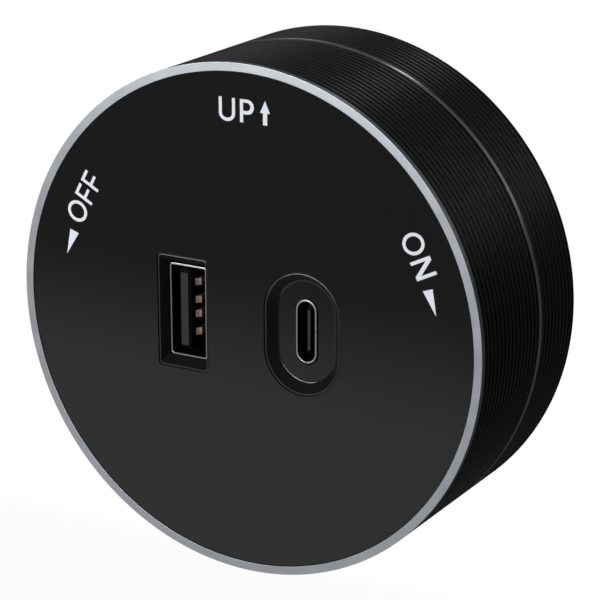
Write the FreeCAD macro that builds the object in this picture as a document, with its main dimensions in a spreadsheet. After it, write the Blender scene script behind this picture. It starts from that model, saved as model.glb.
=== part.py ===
import FreeCAD, Part
import math
import os
from types import SimpleNamespace

import Sketcher
from FreeCAD import Placement, Rotation, Vector

# Power track adapter with two charging ports. The round body is turned clockwise in the track to lock and
# switch on. The axis is Y. The rear face lies in the XZ plane, the glossy face looks along -Y, and +Z is up.
# Inside this file a depth is counted from the front face towards the rear, and sub-parts are placed by it.

# Driving dimensions, in millimetres, in groups of alias and value.
BODY = {
    "body_radius": 35.0,
    "body_depth": 28.1,
    "shell_wall": 2.4,
    "rib_pitch": 1.1,
    "rib_depth": 0.3,
    "rib_lead": 0.34,
    "seam_depth": 17.0,
    "seam_width": 0.9,
    "seam_lead": 0.85,
}
RIM = {
    "rim_width": 1.19,
    "rim_band": 0.78,
    "plate_inset": 0.1,
}
PORTS = {
    "usb_a_place": 9.25,
    "usb_a_mouth_width": 7.8,
    "usb_a_mouth_height": 15.8,
    "usb_a_shell_width": 5.7,
    "usb_a_shell_height": 13.1,
    "usb_a_tongue_thickness": 1.84,
    "usb_a_tongue_height": 11.1,
    "usb_a_tongue_shift": 0.95,
    "usb_c_place": 8.9,
    "usb_c_mouth_width": 10.9,
    "usb_c_mouth_height": 16.8,
    "usb_c_floor_width": 8.28,
    "usb_c_floor_height": 14.0,
    "usb_c_shell_width": 3.26,
    "usb_c_shell_height": 8.94,
    "usb_c_tongue_thickness": 0.7,
    "usb_c_tongue_height": 6.7,
    "mouth_depth": 1.33,
    "boss_depth": 3.0,
    "boss_wall": 1.1,
    "port_wall": 0.3,
    "port_base": 2.4,
    "port_leg": 0.5,
    "port_leg_width": 2.0,
    "usb_a_tongue_recess": 0.5,
    "usb_c_tongue_recess": 0.8,
    "contact_strip": 0.25,
    "contact_width": 1.0,
    "contact_rise": 0.6,
    "contact_lead": 1.4,
    "contact_slope": 1.1,
    "pad_strip": 0.12,
    "pad_width": 0.5,
    "pad_pitch": 1.0,
}
BOARDS = {
    "board_thickness": 1.2,
    "board_margin": 3.5,
    "board_spacing": 7.2,
    "post_height": 1.6,
    "post_width": 4.6,
    "post_across": 20.5,
    "post_up": 10.5,
    "peg_width": 2.4,
    "peg_end": 0.6,
    "clip_thickness": 0.8,
    "clip_width": 4.2,
    "pin_width": 0.64,
    "pin_pitch": 2.54,
}
CARRIER = {
    "carrier_plate": 1.8,
    "pillar_inner": 25.0,
    "pillar_outer": 29.0,
    "pillar_width": 7.0,
    "lug_height": 4.0,
    "lug_setback": 4.1,
    "lug_peg": 2.4,
    "hub_radius": 12.0,
    "hub_setback": 1.5,
    "counterbore_radius": 16.0,
    "counterbore_depth": 1.6,
    "base_floor": 3.4,
    "stop_place": 21.0,
    "stop_radius": 1.4,
    "stop_height": 1.8,
    "twist_angle": 90.0,
}
DETENT = {
    "detent_inset": 8.6,
    "detent_width": 3.0,
    "detent_length": 12.6,
    "detent_foot": 1.5,
    "detent_crown": 2.4,
    "detent_pocket": 1.6,
    "detent_bite": 0.45,
    "leaf_thickness": 0.3,
}
HEAD = {
    "head_length": 26.0,
    "head_width": 11.0,
    "head_height": 7.6,
    "cover_thickness": 1.2,
    "neck_radius": 5.5,
    "neck_length": 3.2,
    "stem_width": 11.0,
    "stem_reach": 1.4,
    "stem_clip_width": 15.0,
    "collar_radius": 15.2,
    "collar_setback": 0.2,
    "lead_bore": 6.8,
    "lead_width": 1.2,
    "lead_thickness": 0.6,
    "lead_place": 2.4,
    "cover_peg_across": 6.0,
    "cover_peg_up": 4.0,
    "cover_peg_width": 1.6,
    "cover_peg_length": 3.0,
    "key_start": 18.0,
    "key_end": 30.0,
    "key_width": 11.6,
    "key_height": 2.4,
    "channel_start": 5.2,
    "channel_floor": 2.0,
    "channel_width": 5.0,
    "channel_lip": 1.8,
    "mouth_narrowing": 0.6,
    "terminal_thickness": 0.7,
    "shoe_push": 1.2,
    "spring_reach": 2.1,
    "spring_thickness": 0.25,
    "spring_width": 3.2,
    "spring_length": 4.4,
    "spring_crown": 1.0,
    "earth_width": 5.0,
    "earth_span": 9.0,
    "earth_foot": 1.4,
    "earth_crown": 2.2,
    "earth_rise": 1.2,
    "earth_thickness": 0.4,
}
SUPPLY = {
    "core_place": 9.0,
    "core_width": 13.0,
    "core_height": 12.0,
    "core_depth": 3.0,
    "core_leg": 2.6,
    "window_width": 8.0,
    "window_height": 3.2,
    "winding_depth": 6.2,
    "winding_gap": 0.2,
    "film_up": 4.6,
    "film_width": 11.0,
    "film_height": 6.0,
    "film_depth": 6.0,
    "can_across": 3.0,
    "can_up": 10.2,
    "can_radius": 2.9,
    "can_depth": 6.2,
    "component_gap": 0.6,
    "fuse_up": -12.4,
    "fuse_width": 8.4,
    "fuse_height": 4.0,
    "fuse_depth": 4.2,
    "rectifier_across": -6.0,
    "rectifier_up": -12.4,
    "rectifier_width": 4.8,
    "rectifier_height": 4.2,
    "rectifier_depth": 1.6,
    "chip_across": -8.0,
    "chip_up": -2.5,
    "chip_width": 5.0,
    "chip_depth": 1.4,
}
FITS = {
    "press_gap": 0.05,
    "running_gap": 0.06,
    "slide_gap": 0.1,
    "turning_gap": 0.3,
    "wall_gap": 0.5,
    "stop_gap": 0.2,
}
GROUPS = (BODY, RIM, PORTS, BOARDS, CARRIER, DETENT, HEAD, SUPPLY, FITS)

# Counts and directions that are not sizes. Every third groove is cut, and the finer ones are surface finish.
GROOVE_STEP = 3
PILLAR_COUNT = 4
PILLAR_TURN = 45
OCTAGON = 8
DETENT_TURN = 270
LINK_PINS = 4
USB_A_CONTACTS = (-3.5, -1.0, 1.0, 3.5)
USB_C_PADS = 6


class Size:
    """A length with the sheet expression that it comes from, so that sums of sizes stay tied to the sheet."""

    def __init__(self, number, text):
        self.number = number
        self.text = text

    def __add__(self, other):
        return Size(self.number + number_of(other), f"({self.text} + {text_of(other)})")

    def __radd__(self, other):
        return Size(number_of(other) + self.number, f"({text_of(other)} + {self.text})")

    def __sub__(self, other):
        return Size(self.number - number_of(other), f"({self.text} - {text_of(other)})")

    def __rsub__(self, other):
        return Size(number_of(other) - self.number, f"({text_of(other)} - {self.text})")

    def __mul__(self, other):
        return Size(self.number * number_of(other), f"({self.text} * {text_of(other)})")

    def __rmul__(self, other):
        return self * other

    def __truediv__(self, other):
        return Size(self.number / number_of(other), f"({self.text} / {text_of(other)})")

    def __neg__(self):
        return Size(-self.number, f"(-{self.text})")


def number_of(value):
    return value.number if isinstance(value, Size) else float(value)


def text_of(value):
    return value.text if isinstance(value, Size) else f"({value})"


def bind(thing, path, value):
    """Tie one property of an object to the sheet."""
    thing.setExpression(path, text_of(value))


def fill_sheet(document):
    """Write every driving dimension to the sheet and return them by alias."""
    sheet = document.addObject("Spreadsheet::Sheet", "Sizes")
    sizes = {}
    row = 1
    for group in GROUPS:
        for alias, value in group.items():
            sheet.set(f"A{row}", alias)
            sheet.set(f"B{row}", str(value))
            sheet.setAlias(f"B{row}", alias)
            sizes[alias] = Size(value, f"Sizes.{alias}")
            row += 1
    document.recompute()
    return SimpleNamespace(**sizes)


doc = FreeCAD.newDocument("track_adapter")
S = fill_sheet(doc)

# Levels along the depth, and radii that several sub-parts share.
mouth_floor = S.plate_inset + S.mouth_depth
shell_end = S.seam_depth - S.slide_gap
base_front = S.seam_depth + S.seam_width
base_inner = S.body_depth - S.base_floor
counter_floor = S.body_depth - S.counterbore_depth
carrier_rear = base_inner - S.turning_gap
carrier_front = carrier_rear - S.carrier_plate
hub_end = S.body_depth - S.hub_setback
power_rear = carrier_front - S.post_height
power_front = power_rear - S.board_thickness
port_rear = power_front - S.board_spacing
port_front = port_rear - S.board_thickness
pillar_front = shell_end - S.lug_setback
collar_rear = S.body_depth - S.collar_setback
stem_front = carrier_front - S.stem_reach
head_front = S.body_depth + S.neck_length
head_rear = head_front + S.head_height
cover_rear = head_rear + S.cover_thickness
channel_front = head_front + S.channel_floor
spring_foot = S.channel_start + S.slide_gap + S.terminal_thickness

shell_bore = S.body_radius - S.shell_wall
plate_edge = S.body_radius - S.rim_width
carrier_radius = shell_bore - S.wall_gap
detent_place = shell_bore - S.detent_inset
hub_bore = S.hub_radius + S.running_gap


def plane_of(body, role):
    return next(f for f in body.Origin.OriginFeatures if f.Role == role)


def new_body(label, across=0, depth=0, height=0, turn=0):
    """A body placed in the part's frame, turned about Y where it is a mirrored copy of another."""
    body = doc.addObject("PartDesign::Body", label)
    body.Label = label
    place(body, across, depth, height, Rotation(Vector(0, 1, 0), turn))
    return body


def place(thing, across, depth, height, rotation=None):
    """Set a sub-part's Placement: across and height from the axis, depth from the front face."""
    if rotation is not None:
        thing.Placement = Placement(Vector(), rotation)
    bind(thing, "Placement.Base.x", across)
    bind(thing, "Placement.Base.y", depth - S.body_depth)
    bind(thing, "Placement.Base.z", height)


def face_sketch(body, name, depth=0, turn=0):
    """A sketch square to the axis at this depth, with X to the right and Z up."""
    sketch = body.newObject("Sketcher::SketchObject", f"{body.Label}_{name}")
    sketch.AttachmentSupport = [(plane_of(body, "XZ_Plane"), "")]
    sketch.MapMode = "FlatFace"
    sketch.AttachmentOffset = Placement(Vector(), Rotation(Vector(0, 0, 1), turn))
    bind(sketch, "AttachmentOffset.Base.z", -1 * depth)
    return sketch


def side_sketch(body, name, height=0, turn=0):
    """A sketch in the XY plane, where the second coordinate is the depth, turned about the axis or lifted."""
    sketch = body.newObject("Sketcher::SketchObject", f"{body.Label}_{name}")
    sketch.AttachmentSupport = [(plane_of(body, "XY_Plane"), "")]
    sketch.MapMode = "FlatFace"
    sketch.AttachmentOffset = Placement(Vector(), Rotation(Vector(0, 1, 0), turn))
    bind(sketch, "AttachmentOffset.Base.z", height)
    return sketch


def tie(sketch, constraint, value):
    """Add a constraint whose size follows the sheet."""
    index = sketch.addConstraint(constraint)
    sketch.setExpression(f"Constraints[{index}]", text_of(value))


def tie_point(sketch, edge, end, across, up):
    """Hold a point of the sketch at its coordinates. A coordinate of plain zero keeps it on the axis."""
    for value, kind, axis in ((across, "DistanceX", -2), (up, "DistanceY", -1)):
        if not isinstance(value, Size) and value == 0:
            sketch.addConstraint(Sketcher.Constraint("PointOnObject", edge, end, axis))
        else:
            tie(sketch, Sketcher.Constraint(kind, -1, 1, edge, end, number_of(value)), value)


def circle(sketch, across, up, radius):
    centre = Vector(number_of(across), number_of(up), 0)
    edge = sketch.addGeometry(Part.Circle(centre, Vector(0, 0, 1), number_of(radius)))
    tie_point(sketch, edge, 3, across, up)
    tie(sketch, Sketcher.Constraint("Radius", edge, number_of(radius)), radius)


def arc_between(start, end, radius):
    """The arc of this radius from start to end, counter-clockwise, or clockwise for a negative radius."""
    first, last = (start, end) if radius > 0 else (end, start)
    size = abs(radius)
    chord = last - first
    rise = math.sqrt(max(size * size - chord.Length**2 / 4, 0))
    inward = Vector(-chord.y, chord.x, 0).normalize()
    centre = first + chord * 0.5 + inward * rise
    angles = [math.atan2(p.y - centre.y, p.x - centre.x) for p in (first, last)]
    return Part.ArcOfCircle(Part.Circle(centre, Vector(0, 0, 1), size), *angles)


def outline(sketch, corners):
    """A closed outline. A corner is (x, y), or (x, y, radius) where an arc leads on to the next corner."""
    points = [Vector(number_of(c[0]), number_of(c[1]), 0) for c in corners]
    ends = []
    for i, corner in enumerate(corners):
        start, end = points[i], points[(i + 1) % len(points)]
        if len(corner) == 2:
            edge = sketch.addGeometry(Part.LineSegment(start, end))
            ends.append((edge, 1, 2))
        else:
            radius = number_of(corner[2])
            edge = sketch.addGeometry(arc_between(start, end, radius))
            size = corner[2] if radius > 0 else -corner[2]
            tie(sketch, Sketcher.Constraint("Radius", edge, abs(radius)), size)
            ends.append((edge, 1, 2) if radius > 0 else (edge, 2, 1))
    for i, corner in enumerate(corners):
        edge, start, _ = ends[i]
        before, _, end = ends[i - 1]
        sketch.addConstraint(Sketcher.Constraint("Coincident", before, end, edge, start))
        tie_point(sketch, edge, start, corner[0], corner[1])


def plain_box(sketch, left, right, low, high):
    outline(sketch, [(left, low), (right, low), (right, high), (left, high)])


def centred_box(sketch, across, up, width, height):
    plain_box(sketch, across - width / 2, across + width / 2, up - height / 2, up + height / 2)


def obround(sketch, across, up, width, height):
    """Two half circles joined by straight sides, along the longer of width and height."""
    upright = number_of(height) > number_of(width)
    radius = (width if upright else height) / 2
    reach = (height - width if upright else width - height) / 2
    step = (0, reach) if upright else (reach, 0)
    start = 0 if upright else -math.pi / 2
    centres = [(across + step[0], up + step[1]), (across - step[0], up - step[1])]
    arcs = []
    for k, (x, y) in enumerate(centres):
        ring = Part.Circle(Vector(number_of(x), number_of(y), 0), Vector(0, 0, 1), number_of(radius))
        turn = start + k * math.pi
        arcs.append(sketch.addGeometry(Part.ArcOfCircle(ring, turn, turn + math.pi)))
    for k, arc in enumerate(arcs):
        other = arcs[1 - k]
        side = sketch.addGeometry(
            Part.LineSegment(sketch.getPoint(arc, 2), sketch.getPoint(other, 1))
        )
        sketch.addConstraint(Sketcher.Constraint("Tangent", arc, 2, side, 1))
        sketch.addConstraint(Sketcher.Constraint("Tangent", side, 2, other, 1))
    for arc, (x, y) in zip(arcs, centres):
        tie_point(sketch, arc, 3, x, y)
        tie(sketch, Sketcher.Constraint("Radius", arc, number_of(radius)), radius)


def pad(body, sketch, length, middle=False):
    """Thicken a sketch towards the rear, or to both sides of a side sketch."""
    feature = body.newObject("PartDesign::Pad", f"{sketch.Name}_pad")
    feature.Profile = sketch
    bind(feature, "Length", length)
    feature.Midplane = middle
    feature.Reversed = not middle
    return feature


def pocket(body, sketch, depth, middle=False):
    """Cut from a sketch towards the rear, or to both sides of a side sketch."""
    feature = body.newObject("PartDesign::Pocket", f"{sketch.Name}_cut")
    feature.Profile = sketch
    bind(feature, "Length", depth)
    feature.Midplane = middle
    return feature


def turned(body, sketch, angle=360):
    feature = body.newObject("PartDesign::Revolution", f"{sketch.Name}_turned")
    feature.Profile = sketch
    feature.ReferenceAxis = (sketch, ["V_Axis"])
    feature.Angle = angle
    return feature


def around(body, features, count, angle=360):
    """Repeat features about the axis."""
    pattern = body.newObject("PartDesign::PolarPattern", f"{features[0].Name}_around")
    pattern.Originals = features
    pattern.Axis = (plane_of(body, "Y_Axis"), [""])
    pattern.Angle = angle
    pattern.Occurrences = count
    body.Tip = pattern
    return pattern


def loft_cut(body, outer, inner):
    """Cut a bevelled hollow between two outlines."""
    feature = body.newObject("PartDesign::SubtractiveLoft", f"{outer.Name}_loft")
    feature.Profile = outer
    feature.Sections = [inner]
    feature.Ruled = True
    return feature


def block(label, left, front, low, width, depth, height):
    """A rectangular block from its lowest corner."""
    box = doc.addObject("Part::Box", label)
    box.Label = label
    bind(box, "Length", width)
    bind(box, "Width", depth)
    bind(box, "Height", height)
    place(box, left, front, low)
    return box


def rod(label, across, front, height, radius, length, along=Vector(0, 1, 0), angle=360):
    """A round rod that starts at a point and runs along a direction."""
    cylinder = doc.addObject("Part::Cylinder", label)
    cylinder.Label = label
    cylinder.Angle = angle
    bind(cylinder, "Radius", radius)
    bind(cylinder, "Height", length)
    place(cylinder, across, front, height, Rotation(Vector(0, 0, 1), along))
    return cylinder


def less(label, base, tool):
    cut = doc.addObject("Part::Cut", label)
    cut.Label = label
    cut.Base = base
    cut.Tool = tool
    return cut


def group(label, things):
    """Equal pieces that share one node and stay separate solids."""
    compound = doc.addObject("Part::Compound", label)
    compound.Label = label
    compound.Links = things
    return compound


def rib_corners(first, end, radius):
    """The zigzag of the rings on a shell's side: a groove at each step and a ridge halfway to the next."""
    step = S.rib_pitch * GROOVE_STEP
    count = 1 + math.floor((end.number - first.number) / step.number)
    corners = []
    for k in range(count):
        if k > 0:
            corners.append((radius, first + step * (k - 0.5)))
        corners.append((radius - S.rib_depth, first + step * k))
    corners.append((radius, end))
    return corners


def leaf_corners(span, foot, crown, rise, thickness):
    """A bent spring leaf seen from its side, as along and up: two feet, two slopes and a flat crown."""
    half = span / 2
    top = crown / 2
    under = [
        (-half, 0),
        (foot - half, 0),
        (-top, rise - thickness),
        (top, rise - thickness),
        (half - foot, 0),
        (half, 0),
    ]
    over = [(along, up + thickness) for along, up in reversed(under)]
    return under + over


def square(sketch, across, up, width):
    centred_box(sketch, across, up, width, width)


def octagon(sketch, radius):
    """Eight sides about the axis, with flats at the top, the sides and the diagonals."""
    steps = [math.pi * (2 * k + 1) / OCTAGON for k in range(OCTAGON)]
    outline(sketch, [(radius * math.cos(turn), radius * math.sin(turn)) for turn in steps])


def post_places():
    return [(x, z) for x in (-S.post_across, S.post_across) for z in (-S.post_up, S.post_up)]


def cover_peg_places():
    return [(S.cover_peg_across, S.cover_peg_up), (-S.cover_peg_across, -S.cover_peg_up)]


def make_rim_ring():
    body = new_body("rim_ring")
    sketch = side_sketch(body, "section")
    plain_box(sketch, plate_edge, S.body_radius, 0, S.rim_band)
    turned(body, sketch)
    return body


def make_face_plate():
    """Glossy disc with a boss behind each port, a bevelled hollow in front and a hole for the port's shell."""
    body = new_body("face_plate")
    disc = face_sketch(body, "disc", S.plate_inset)
    circle(disc, 0, 0, plate_edge - S.press_gap)
    pad(body, disc, S.rim_band - S.plate_inset)

    reach = S.usb_a_shell_width / 2 + S.slide_gap
    rise = S.usb_a_shell_height / 2 + S.slide_gap
    floor_reach = S.usb_c_floor_width / 2 + S.boss_wall
    floor_rise = S.usb_c_floor_height / 2 + S.boss_wall
    bosses = face_sketch(body, "bosses", S.rim_band)
    left, right = -S.usb_a_place - reach - S.boss_wall, reach + S.boss_wall - S.usb_a_place
    plain_box(bosses, left, right, -rise - S.boss_wall, rise + S.boss_wall)
    plain_box(bosses, S.usb_c_place - floor_reach, S.usb_c_place + floor_reach, -floor_rise, floor_rise)
    pad(body, bosses, S.boss_depth - S.rim_band)

    mouth_a = face_sketch(body, "mouth_a", S.plate_inset)
    centred_box(mouth_a, -S.usb_a_place, 0, S.usb_a_mouth_width, S.usb_a_mouth_height)
    floor_a = face_sketch(body, "floor_a", mouth_floor)
    centred_box(floor_a, -S.usb_a_place, 0, 2 * reach, 2 * rise)
    loft_cut(body, mouth_a, floor_a)
    hole_a = face_sketch(body, "hole_a", mouth_floor)
    centred_box(hole_a, -S.usb_a_place, 0, 2 * reach, 2 * rise)
    pocket(body, hole_a, S.boss_depth - mouth_floor)

    mouth_c = face_sketch(body, "mouth_c", S.plate_inset)
    obround(mouth_c, S.usb_c_place, 0, S.usb_c_mouth_width, S.usb_c_mouth_height)
    floor_c = face_sketch(body, "floor_c", mouth_floor)
    obround(floor_c, S.usb_c_place, 0, S.usb_c_floor_width, S.usb_c_floor_height)
    loft_cut(body, mouth_c, floor_c)
    hole_c = face_sketch(body, "hole_c", mouth_floor)
    gap = 2 * S.slide_gap
    obround(hole_c, S.usb_c_place, 0, S.usb_c_shell_width + gap, S.usb_c_shell_height + gap)
    pocket(body, hole_c, S.boss_depth - mouth_floor)
    return body


def make_front_shell():
    """Ringed front sleeve. Four lugs inside it are pressed over the pegs of the carrier's pillars."""
    body = new_body("front_shell")
    sketch = side_sketch(body, "section")
    ribs = rib_corners(S.rim_band + S.rib_lead, shell_end, S.body_radius)
    inside = [(shell_bore, shell_end), (shell_bore, S.rim_band)]
    outline(sketch, [(S.body_radius, S.rim_band)] + ribs + inside)
    turned(body, sketch)
    lug = face_sketch(body, "lug", pillar_front - S.lug_height, PILLAR_TURN)
    half = S.pillar_width / 2
    plain_box(lug, S.pillar_inner, shell_bore + S.shell_wall / 4, -half, half)
    square(lug, (S.pillar_inner + S.pillar_outer) / 2, 0, S.lug_peg + 2 * S.press_gap)
    around(body, [pad(body, lug, S.lug_height)], PILLAR_COUNT)
    return body


def make_seam_ring():
    body = new_body("seam_ring")
    sketch = side_sketch(body, "section")
    plain_box(sketch, shell_bore, S.body_radius, S.seam_depth, base_front)
    turned(body, sketch)
    return body


def make_base_shell():
    """Ringed rear cup with the hub's bearing, the stop's slot, the detent's pocket and the track's keys."""
    body = new_body("base_shell")
    sketch = side_sketch(body, "section")
    start = [(shell_bore, base_inner), (shell_bore, base_front), (S.body_radius, base_front)]
    ribs = rib_corners(base_front + S.seam_lead, S.body_depth, S.body_radius)
    bearing = [
        (S.counterbore_radius, S.body_depth),
        (S.counterbore_radius, counter_floor),
        (hub_bore, counter_floor),
        (hub_bore, base_inner),
    ]
    outline(sketch, start + ribs + bearing)
    turned(body, sketch)
    cut_stop_slot(body)
    leaf = face_sketch(body, "detent_pocket", base_inner)
    half = S.detent_length / 2 + S.turning_gap
    side = S.detent_width / 2 + S.slide_gap
    plain_box(leaf, -half, half, -detent_place - side, side - detent_place)
    pocket(body, leaf, S.detent_pocket)
    keys = face_sketch(body, "keys", S.body_depth)
    half = S.key_width / 2
    plain_box(keys, S.key_start, S.key_end, -half, half)
    plain_box(keys, -S.key_end, -S.key_start, -half, half)
    pad(body, keys, S.key_height)
    return body


def cut_stop_slot(body):
    """An arc slot in the base's floor that ends the turn at both ends."""
    half = S.stop_radius + S.stop_gap
    depth = S.stop_height - S.turning_gap + S.stop_gap
    section = side_sketch(body, "stop_section", 0, -90 - PILLAR_TURN)
    plain_box(section, S.stop_place - half, S.stop_place + half, base_inner, base_inner + depth)
    slot = body.newObject("PartDesign::Groove", f"{body.Label}_stop_slot")
    slot.Profile = section
    slot.ReferenceAxis = (section, ["V_Axis"])
    bind(slot, "Angle", S.twist_angle)
    ends = face_sketch(body, "stop_ends", base_inner)
    reach = S.stop_place * math.sqrt(0.5)
    circle(ends, -reach, reach, half)
    circle(ends, reach, reach, half)
    pocket(body, ends, depth)


def make_carrier():
    """Plate that turns in the base on its hub, and carries the boards and, on pillars, the front shell."""
    body = new_body("carrier")
    plate = face_sketch(body, "plate", carrier_front)
    octagon(plate, carrier_radius)
    pad(body, plate, S.carrier_plate)
    hub = face_sketch(body, "hub", carrier_rear)
    circle(hub, 0, 0, S.hub_radius)
    pad(body, hub, hub_end - carrier_rear)

    half = S.pillar_width / 2
    pillar = face_sketch(body, "pillar", pillar_front, PILLAR_TURN)
    plain_box(pillar, S.pillar_inner, S.pillar_outer, -half, half)
    pillar_pad = pad(body, pillar, carrier_front - pillar_front)
    peg = face_sketch(body, "pillar_peg", pillar_front - S.lug_height, PILLAR_TURN)
    square(peg, (S.pillar_inner + S.pillar_outer) / 2, 0, S.lug_peg)
    around(body, [pillar_pad, pad(body, peg, S.lug_height)], PILLAR_COUNT)

    posts = face_sketch(body, "posts", power_rear)
    pegs = face_sketch(body, "pegs", port_front - S.clip_thickness - S.peg_end)
    for across, up in post_places():
        square(posts, across, up, S.post_width)
        square(pegs, across, up, S.peg_width)
    pad(body, posts, S.post_height)
    pad(body, pegs, power_rear - port_front + S.clip_thickness + S.peg_end)

    stem = face_sketch(body, "stem_hole", carrier_front)
    square(stem, 0, 0, S.stem_width + 2 * S.press_gap)
    pocket(body, stem, hub_end - carrier_front)
    stop = face_sketch(body, "stop", carrier_rear)
    reach = S.stop_place * math.sqrt(0.5)
    circle(stop, -reach, reach, S.stop_radius)
    pad(body, stop, S.stop_height)
    cut_detent_troughs(body)
    return body


def cut_detent_troughs(body):
    """Two shallow troughs, a quarter turn apart, that the detent leaf drops into at each end of the turn."""
    bottom = S.detent_crown / 2 + S.turning_gap
    top = bottom + 2 * S.detent_bite
    floor = carrier_rear - S.detent_bite
    trough = side_sketch(body, "trough", -detent_place)
    outline(trough, [(-top, carrier_rear), (-bottom, floor), (bottom, floor), (top, carrier_rear)])
    around(body, [pocket(body, trough, S.detent_width + 4 * S.turning_gap, middle=True)], 2, DETENT_TURN)


def make_detent_spring():
    body = new_body("detent_spring")
    side = side_sketch(body, "side", -detent_place)
    floor = base_inner + S.detent_pocket
    rise = S.detent_pocket + S.turning_gap + S.detent_bite
    corners = leaf_corners(S.detent_length, S.detent_foot, S.detent_crown, rise, S.leaf_thickness)
    outline(side, [(along, floor - up) for along, up in corners])
    pad(body, side, S.detent_width, middle=True)
    return body


def make_contact_head():
    """Insulating stem with a collar behind the base's floor, a round neck and the T for the track."""
    body = new_body("contact_head")
    collar = face_sketch(body, "collar", hub_end)
    octagon(collar, S.collar_radius)
    pad(body, collar, collar_rear - hub_end)
    stem = face_sketch(body, "stem", stem_front)
    square(stem, 0, 0, S.stem_width)
    pad(body, stem, hub_end - stem_front)
    neck = face_sketch(body, "neck", collar_rear)
    circle(neck, 0, 0, S.neck_radius)
    pad(body, neck, head_front - collar_rear)
    wings = face_sketch(body, "wings", head_front)
    obround(wings, 0, 0, S.head_length, S.head_width)
    pad(body, wings, S.head_height)

    half = S.channel_width / 2
    shoulder = S.head_length / 2 - S.channel_lip
    beyond = S.head_length / 2 + S.channel_lip
    narrow = half - S.mouth_narrowing
    channels = face_sketch(body, "channels", channel_front)
    plain_box(channels, S.channel_start, shoulder, -half, half)
    plain_box(channels, -shoulder, -S.channel_start, -half, half)
    pocket(body, channels, head_rear - channel_front)
    mouths = face_sketch(body, "channel_mouths", channel_front)
    plain_box(mouths, shoulder, beyond, -narrow, narrow)
    plain_box(mouths, -beyond, -shoulder, -narrow, narrow)
    pocket(body, mouths, head_rear - channel_front)
    bore = face_sketch(body, "lead_bore", stem_front)
    square(bore, 0, 0, S.lead_bore)
    pocket(body, bore, head_rear - stem_front)
    slot = face_sketch(body, "terminal_slot", head_rear - S.terminal_thickness - S.slide_gap)
    strip = half / 2 + S.slide_gap
    plain_box(slot, -S.channel_start, S.channel_start, -strip, strip)
    pocket(body, slot, S.terminal_thickness + S.slide_gap)
    sockets = face_sketch(body, "cover_sockets", head_rear - S.cover_peg_length - S.slide_gap)
    for across, up in cover_peg_places():
        square(sockets, across, up, S.cover_peg_width + 2 * S.press_gap)
    pocket(body, sockets, S.cover_peg_length + S.slide_gap)
    return body


def make_stem_clip():
    """Push-on clip round the stem's front end, which holds the head in the carrier."""
    body = new_body("stem_clip")
    plate = face_sketch(body, "plate", carrier_front - S.clip_thickness)
    square(plate, 0, 0, S.stem_clip_width)
    square(plate, 0, 0, S.stem_width + 2 * S.press_gap)
    pad(body, plate, S.clip_thickness)
    return body


def make_head_cover():
    body = new_body("head_cover")
    plate = face_sketch(body, "plate", head_rear)
    obround(plate, 0, 0, S.head_length, S.head_width)
    pad(body, plate, S.cover_thickness)
    pegs = face_sketch(body, "pegs", head_rear - S.cover_peg_length)
    for across, up in cover_peg_places():
        square(pegs, across, up, S.cover_peg_width)
    pad(body, pegs, S.cover_peg_length)
    hole = face_sketch(body, "lead_hole", head_rear)
    side = S.lead_thickness / 2 + S.slide_gap
    rise = S.lead_width / 2 + S.slide_gap
    plain_box(hole, -side, side, -rise, rise)
    pocket(body, hole, S.cover_thickness)
    return body


def make_shoe(label, turn):
    """Contact shoe: a shouldered copper block that slides in the head's channel, with a rounded nose."""
    body = new_body(label, turn=turn)
    gap = S.slide_gap
    half = S.channel_width / 2 - gap
    narrow = half - S.mouth_narrowing
    back = spring_foot + S.spring_reach
    shoulder = S.head_length / 2 - S.channel_lip - gap
    tip = S.head_length / 2 + S.shoe_push
    corner = narrow / 2
    sketch = face_sketch(body, "section", channel_front + gap)
    outline(
        sketch,
        [
            (back, -half),
            (shoulder, -half),
            (shoulder, -narrow),
            (tip - corner, -narrow, corner),
            (tip, corner - narrow),
            (tip, narrow - corner, corner),
            (tip - corner, narrow),
            (shoulder, narrow),
            (shoulder, half),
            (back, half),
        ],
    )
    pad(body, sketch, head_rear - channel_front - 2 * gap)
    return body


def make_shoe_spring(label, turn):
    """Bent leaf between the terminal and the back of the shoe."""
    body = new_body(label, turn=turn)
    side = side_sketch(body, "side")
    middle = (channel_front + head_rear) / 2
    foot = (S.spring_length - S.spring_crown) / 8
    corners = leaf_corners(S.spring_length, foot, S.spring_crown, S.spring_reach, S.spring_thickness)
    outline(side, [(spring_foot + up, middle + along) for along, up in corners])
    pad(body, side, S.spring_width, middle=True)
    return body


def make_terminal(label, turn):
    """Bent plate: one leg backs the shoe's spring, the other reaches in to the lead."""
    body = new_body(label, turn=turn)
    half = S.channel_width / 2 - S.slide_gap
    tab_front = channel_front + S.slide_gap
    tab = face_sketch(body, "tab", tab_front)
    plain_box(tab, spring_foot - S.terminal_thickness, spring_foot, -half, half)
    pad(body, tab, head_rear - tab_front)
    strip = face_sketch(body, "strip", head_rear - S.terminal_thickness)
    plain_box(strip, S.lead_place - S.lead_thickness / 2, spring_foot, -half / 2, half / 2)
    pad(body, strip, S.terminal_thickness)
    return body


def make_leads():
    """Flat leads from the power board through the stem, two to the terminals and one to the earth strip."""
    low = -S.lead_width / 2
    half = S.lead_thickness / 2
    length = head_rear - S.terminal_thickness - power_rear
    earth_length = cover_rear + S.earth_rise - S.earth_thickness - power_rear
    sizes = (S.lead_thickness, length, S.lead_width)
    live = block("live_lead", S.lead_place - half, power_rear, low, *sizes)
    neutral = block("neutral_lead", -S.lead_place - half, power_rear, low, *sizes)
    earth = block("earth_lead", -half, power_rear, low, S.lead_thickness, earth_length, S.lead_width)
    return [live, neutral, earth]


def make_earth_contact():
    """Bent strip on the end of the head."""
    body = new_body("earth_contact")
    side = side_sketch(body, "side")
    corners = leaf_corners(S.earth_span, S.earth_foot, S.earth_crown, S.earth_rise, S.earth_thickness)
    outline(side, [(along, cover_rear + up) for along, up in corners])
    pad(body, side, S.earth_width, middle=True)
    return body


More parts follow.
